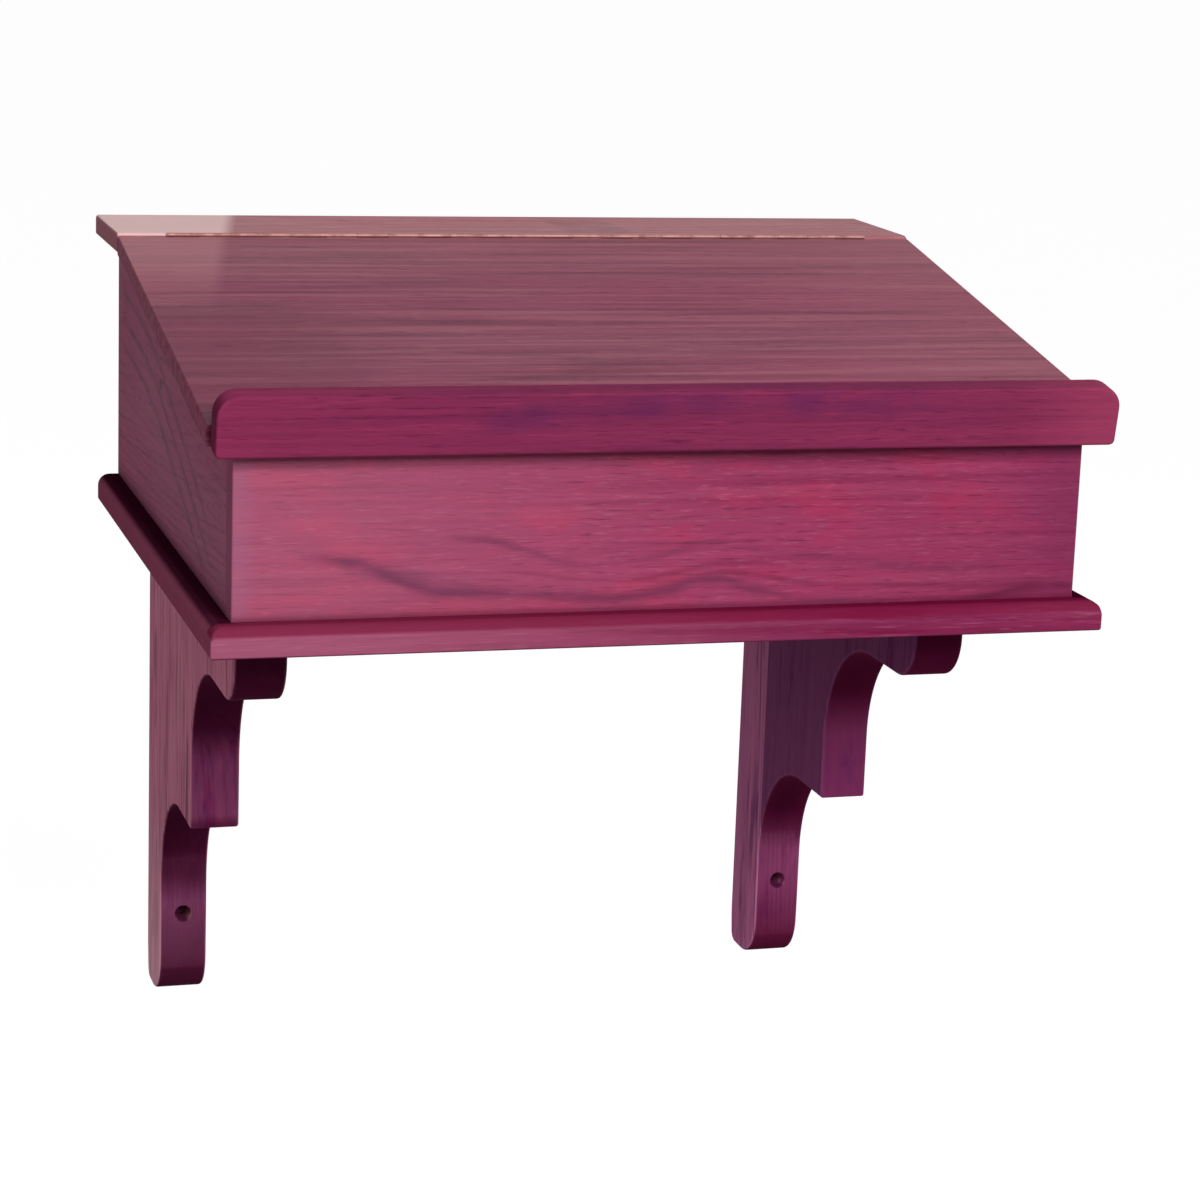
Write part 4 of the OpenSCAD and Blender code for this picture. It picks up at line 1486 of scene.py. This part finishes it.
@dataclass
class Fasteners:
    """Screws and brads of the case and the dowels inside its joints."""

    side_x: float = 0.2905
    bracket_x: float = 0.255
    apron_y: float = -0.5105
    shelf_low: float = -0.181
    shelf_high: float = -0.160
    head: float = 0.0042
    shank: float = 0.0021
    shelf_screw: float = 0.050
    bracket_screw: float = 0.060
    side_rows: Point = (-0.040, -0.461)
    arm_rows: Point = (-0.060, -0.329)
    apron_pitch: float = 0.1405

    def build(self, dresser: Dresser, steel: Material, beech: Material) -> None:
        """Makes the screws, and gives dowels and brads their finish.

        Args:
            dresser: Where the pieces are hung.
            steel: Finish of screws and brads.
            beech: Finish of the dowels.
        """
        low, high, upward, downward = self.shelf_low, self.shelf_high, (math.pi, 0.0, 0.0), NOWHERE
        one_row = (self.apron_y, self.apron_y)
        for node, name, columns, rows, width, (first, last), height, turn, length in (
                ("side_screws", "screws_in_sides", 2, 4, 2 * self.side_x, self.side_rows,
                 low, upward, self.shelf_screw),
                ("apron_screws", "screws_in_apron", 4, 1, 3 * self.apron_pitch, one_row,
                 low, upward, self.shelf_screw),
                ("bracket_screws", "screws_in_brackets", 2, 3, 2 * self.bracket_x, self.arm_rows,
                 high, downward, self.bracket_screw)):
            centre = (0.0, (first + last) / 2, height)
            screws = ScrewRows(name, columns, rows, width, first - last, centre, turn,
                               self.head, self.shank, length)
            dresser.hang(screws.make(steel), "case", steel, node)
        dresser.repaint("back_brads", steel)
        for node in ("ledge_dowels", "apron_dowels", "rail_dowels", "lip_dowels"):
            dresser.repaint(node, beech)


@dataclass
class ContinuousHinge:
    """The continuous hinge along the crease: two leaves with alternate knuckles on one pin."""

    length: float = 0.562
    axis_y: float = -0.119
    axis_z: float = 0.0456875
    knuckles: int = 23
    gap: float = 0.0003
    outer: float = 0.00165
    bore: float = 0.00085
    leaf: float = 0.0008
    leaf_gap: float = 0.0003
    leaf_width: float = 0.0125
    relief: float = 0.00195
    root: float = 0.00125
    screws: int = 11
    screw_pitch: float = 0.562 / 11
    screw_down: float = 0.0085
    screw_length: float = 0.016
    head: float = 0.0022
    shank: float = 0.0013
    fit: float = 0.00005
    over: float = 0.0001
    flare: float = 0.2
    deep: float = 6.0
    through: float = 1.2
    outer_sides: int = 40
    bore_sides: int = 28

    def build(self, dresser: Dresser, brass: Material, steel: Material) -> None:
        """Makes both leaves with their knuckles and screws.

        Args:
            dresser: Where the pieces are hung.
            brass: Finish of leaves and screws.
            steel: Finish of the pin.
        """
        for part, first, side, body in (("ledge", 0, 1, "case"), ("lid", 1, -1, "lid")):
            leaf, screws = f"hinge_{part}_leaf", f"{part}_hinge_screws"
            dresser.hang(self._leaf(leaf + "_brass", first, side, brass), body, brass, leaf)
            face_y = self.axis_y + side * (self.leaf_gap / 2 + self.fit)
            row = ScrewRows(screws + "_brass", self.screws, 1, (self.screws - 1) * self.screw_pitch, 0.0,
                            (0.0, face_y, self.axis_z - self.screw_down), (side * math.pi / 2, 0.0, 0.0),
                            self.head, self.shank, self.screw_length)
            dresser.hang(row.make(brass), body, brass, screws)
        dresser.repaint("hinge_pin", steel)

    def _leaf(self, name: str, first: int, side: int, finish: Material) -> Thing:
        """Makes one leaf.

        Args:
            name: Name of the piece.
            first: Number of its first knuckle.
            side: 1 for the ledge's leaf, -1 for the lid's.
            finish: Its material.

        Returns:
            Plate and knuckles as one mesh.
        """
        pitch = self.length / self.knuckles
        tree = ShapeTree(name, {
            "Knuckles": (self.knuckles + 1 - first) // 2,
            "First": -self.length / 2 + (first + 0.5) * pitch, "Pitch": 2 * pitch,
            "Knuckle": pitch - self.gap, "Outer": self.outer, "Bore": self.bore,
            "Length": self.length, "Leaf": self.leaf, "Middle": side * (self.leaf_gap + self.leaf) / 2,
            "Width": self.leaf_width, "Relief": self.relief, "Root": self.root, "Screws": self.screws,
            "Screw pitch": self.screw_pitch, "Screw down": self.screw_down, "Head": self.head + self.fit,
            "Shank": self.shank + self.fit, "Axis": (0.0, self.axis_y, self.axis_z), "Material": finish})
        size, along = tree.size, (0.0, math.pi / 2, 0.0)

        def block(length: object, low: object, high: object) -> Socket:
            """A block as thick as the leaf, between two depths below the axis."""
            middle = tree.vector(0.0, size["Middle"], tree.times(tree.plus(low, high), -0.5))
            return tree.move(tree.cube(length, size["Leaf"], tree.minus(low, high)), middle)

        knuckle = tree.carve(
            tree.union(tree.rod(size["Outer"], size["Knuckle"], self.outer_sides, along),
                       block(size["Knuckle"], size["Relief"], size["Root"])),
            tree.rod(size["Bore"], tree.times(size["Knuckle"], self.through), self.bore_sides, along))
        knuckles = tree.row(size["Knuckles"], tree.vector(size["First"], 0.0, 0.0), size["Pitch"], knuckle)
        plate = block(size["Length"], size["Width"], size["Relief"])
        plate = tree.carve(plate, self._countersinks(tree, side))
        whole = tree.gather(tree.add("GeometryNodeJoinGeometry"), "Geometry", plate, knuckles)
        return tree.run(tree.move(whole, size["Axis"]))

    def _countersinks(self, tree: ShapeTree, side: int) -> Socket:
        """Cutters for the leaf's screw holes, wide at the face towards the gap.

        Args:
            tree: Tree of the leaf.
            side: 1 for the ledge's leaf, -1 for the lid's.

        Returns:
            The cutters in a row.
        """
        head, shank, leaf, pitch = (tree.size[key] for key in ("Head", "Shank", "Leaf", "Screw pitch"))
        cone = tree.cone(tree.minus(shank, self.over), tree.math("MULTIPLY_ADD", leaf, self.flare, head),
                         tree.plus(tree.minus(head, shank), 3 * self.over))
        sunk = tree.lift(cone, tree.minus(shank, tree.plus(head, self.over)))
        cutter = tree.move(tree.union(sunk, tree.rod(shank, tree.times(leaf, self.deep))),
                           turn=(side * math.pi / 2, 0.0, 0.0))
        first = tree.times(pitch, tree.minus(tree.size["Screws"], 1.0), -0.5)
        inside = tree.minus(tree.size_of(tree.size["Middle"]), tree.times(leaf, 0.5))
        face = tree.times(inside, float(side))
        start = tree.vector(first, face, tree.times(tree.size["Screw down"], -1.0))
        return tree.row(tree.size["Screws"], start, pitch, cutter)


@dataclass(frozen=True)
class Lamp:
    """A square soft lamp."""

    name: str
    place: Place
    size: float
    watts: float


@dataclass
class Studio:
    """Camera, lamps, floor and white surroundings."""

    camera_at: Place = (-0.6715, -2.6195, 0.3485)
    yaw: float = 17.4137
    pitch: float = 12.8407
    roll: float = 2.2782
    focal: float = 3321.26
    frame_px: float = 1200.0
    principal: Point = (650.0, 600.0)
    sensor: float = 36.0
    clip_end: float = 200.0
    floor_z: float = -1.10
    floor_half: float = 60.0
    floor_tone: float = 0.38
    floor_glow: float = 0.90
    floor_rough: float = 0.9
    ambient: float = 0.22
    target: Place = (0.0, -0.30, -0.15)
    lamps: tuple[Lamp, ...] = (Lamp("key", (0.30, -3.00, 1.15), 1.1, 76.0),
                               Lamp("fill", (-2.7, -0.9, 0.45), 1.2, 10.0))

    def build(self) -> None:
        """Sets up everything round the object."""
        self._camera()
        self._world()
        self._floor()
        for lamp in self.lamps:
            data = bpy.data.lights.new(lamp.name, "AREA")
            data.shape, data.size, data.energy = "SQUARE", lamp.size, lamp.watts
            made = linked(lamp.name, data)
            made.location = lamp.place
            made.rotation_mode = "QUATERNION"
            made.rotation_quaternion = (Vector(self.target) - Vector(lamp.place)).to_track_quat("-Z", "Y")
        bpy.context.scene.view_settings.view_transform = "Standard"

    def _camera(self) -> None:
        """Puts the camera where the photograph was taken from."""
        yaw, pitch, roll = (math.radians(a) for a in (self.yaw, self.pitch, self.roll))
        level = math.cos(pitch)
        ahead = Vector((math.sin(yaw) * level, math.cos(yaw) * level, -math.sin(pitch)))
        right = Vector((math.cos(yaw), -math.sin(yaw), 0.0))
        up = right.cross(ahead)
        across = math.cos(roll) * right + math.sin(roll) * up
        upward = -math.sin(roll) * right + math.cos(roll) * up
        data = bpy.data.cameras.new("camera")
        data.sensor_width = self.sensor
        data.lens = self.focal / self.frame_px * self.sensor
        data.shift_x = (self.frame_px / 2 - self.principal[0]) / self.frame_px
        data.shift_y = (self.principal[1] - self.frame_px / 2) / self.frame_px
        data.clip_end = self.clip_end
        made = linked("camera", data)
        turn = Matrix((across, upward, -ahead)).transposed().to_4x4()
        made.matrix_world = Matrix.Translation(self.camera_at) @ turn
        bpy.context.scene.camera = made

    @staticmethod
    def _seen(pen: NodePen) -> Socket:
        """1 for the rays that look at the surroundings straight, in a gloss or through glass."""
        path = pen.add("ShaderNodeLightPath").outputs
        return pen.most(path["Is Camera Ray"], path["Is Glossy Ray"], path["Is Transmission Ray"])

    def _world(self) -> None:
        """White surroundings to the eye, a plain soft light on the object."""
        world = bpy.data.worlds.new("surroundings")
        world.use_nodes = True
        bpy.context.scene.world = world
        pen = NodePen(world.node_tree)
        strength = pen.span(self._seen(pen), 0.0, 1.0, self.ambient, 1.0, smooth=False)
        pen.fill(world.node_tree.nodes["Background"], {"Color": WHITE, "Strength": strength})

    def _floor(self) -> None:
        """A plain pale floor under the object."""
        work = bmesh.new()
        bmesh.ops.create_grid(work, x_segments=1, y_segments=1, size=self.floor_half,
                              matrix=Matrix.Translation((0.0, 0.0, self.floor_z)))
        made = Joinery.finish("floor", work)
        paint, shader = new_material("floor_paint")
        pen = NodePen(paint.node_tree)
        pen.fill(shader, {
            "Base Color": (self.floor_tone, self.floor_tone, self.floor_tone, 1.0),
            "Roughness": self.floor_rough, "Specular IOR Level": 0.0, "Emission Color": WHITE,
            "Emission Strength": pen.times(self._seen(pen), self.floor_glow)})
        made.data.materials.append(paint)


def main() -> None:
    """Builds every sub-assembly in order, then the studio."""
    logging.basicConfig(level=logging.INFO, format="%(name)s: %(message)s")
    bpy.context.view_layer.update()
    Studio().build()
    dresser = Dresser()
    steel = Metal("zinc_steel", (0.62, 0.62, 0.64, 1.0), (0.40, 0.40, 0.41, 1.0), 0.30,
                  (900.0, 900.0, 120.0)).material()
    brass = Metal("dull_brass", (0.42, 0.21, 0.19, 1.0), (0.34, 0.16, 0.15, 1.0), 0.60,
                  (60.0, 1500.0, 1500.0)).material()
    for boards in (Shelf(), CaseBoards(), Ledge(), Lid()):
        boards.build(dresser)
    left = Oak("oak_left_bracket", BoardLie.POST, ROSE, (-0.274, 0.0, -0.181), pith_across=-0.03,
               taper=0.03, ring=0.0036, seed=9.2, ring_strength=0.6, thread_strength=0.75,
               thread_size=(11.0, 105.0), end_strength=0.6, roughness=0.72, specular=0.05, wear=0.04,
               sawn=Sawn(srgb(108, 33, 86), (-0.36, 0.04), -0.510),
               fades=(Fade(-0.42, -0.20, 0.6, srgb(255, 190, 210)),))
    right = replace(left, name="oak_right_bracket", stain=PLUM, origin=(0.236, 0.0, -0.181), seed=11.5,
                    sawn=Sawn(srgb(130, 49, 96), (-0.48, 0.10), -0.385), glue_line=-0.0640, fades=())
    for name, x, finish in (("left_bracket", -0.255, left), ("right_bracket", 0.255, right)):
        Bracket(name, x, finish).build(dresser)
    Fasteners().build(dresser, steel, Beech().material())
    ContinuousHinge().build(dresser, brass, steel)
    log.info("%d pieces hung", len(dresser.pieces))


if __name__ == "__main__":
    main()
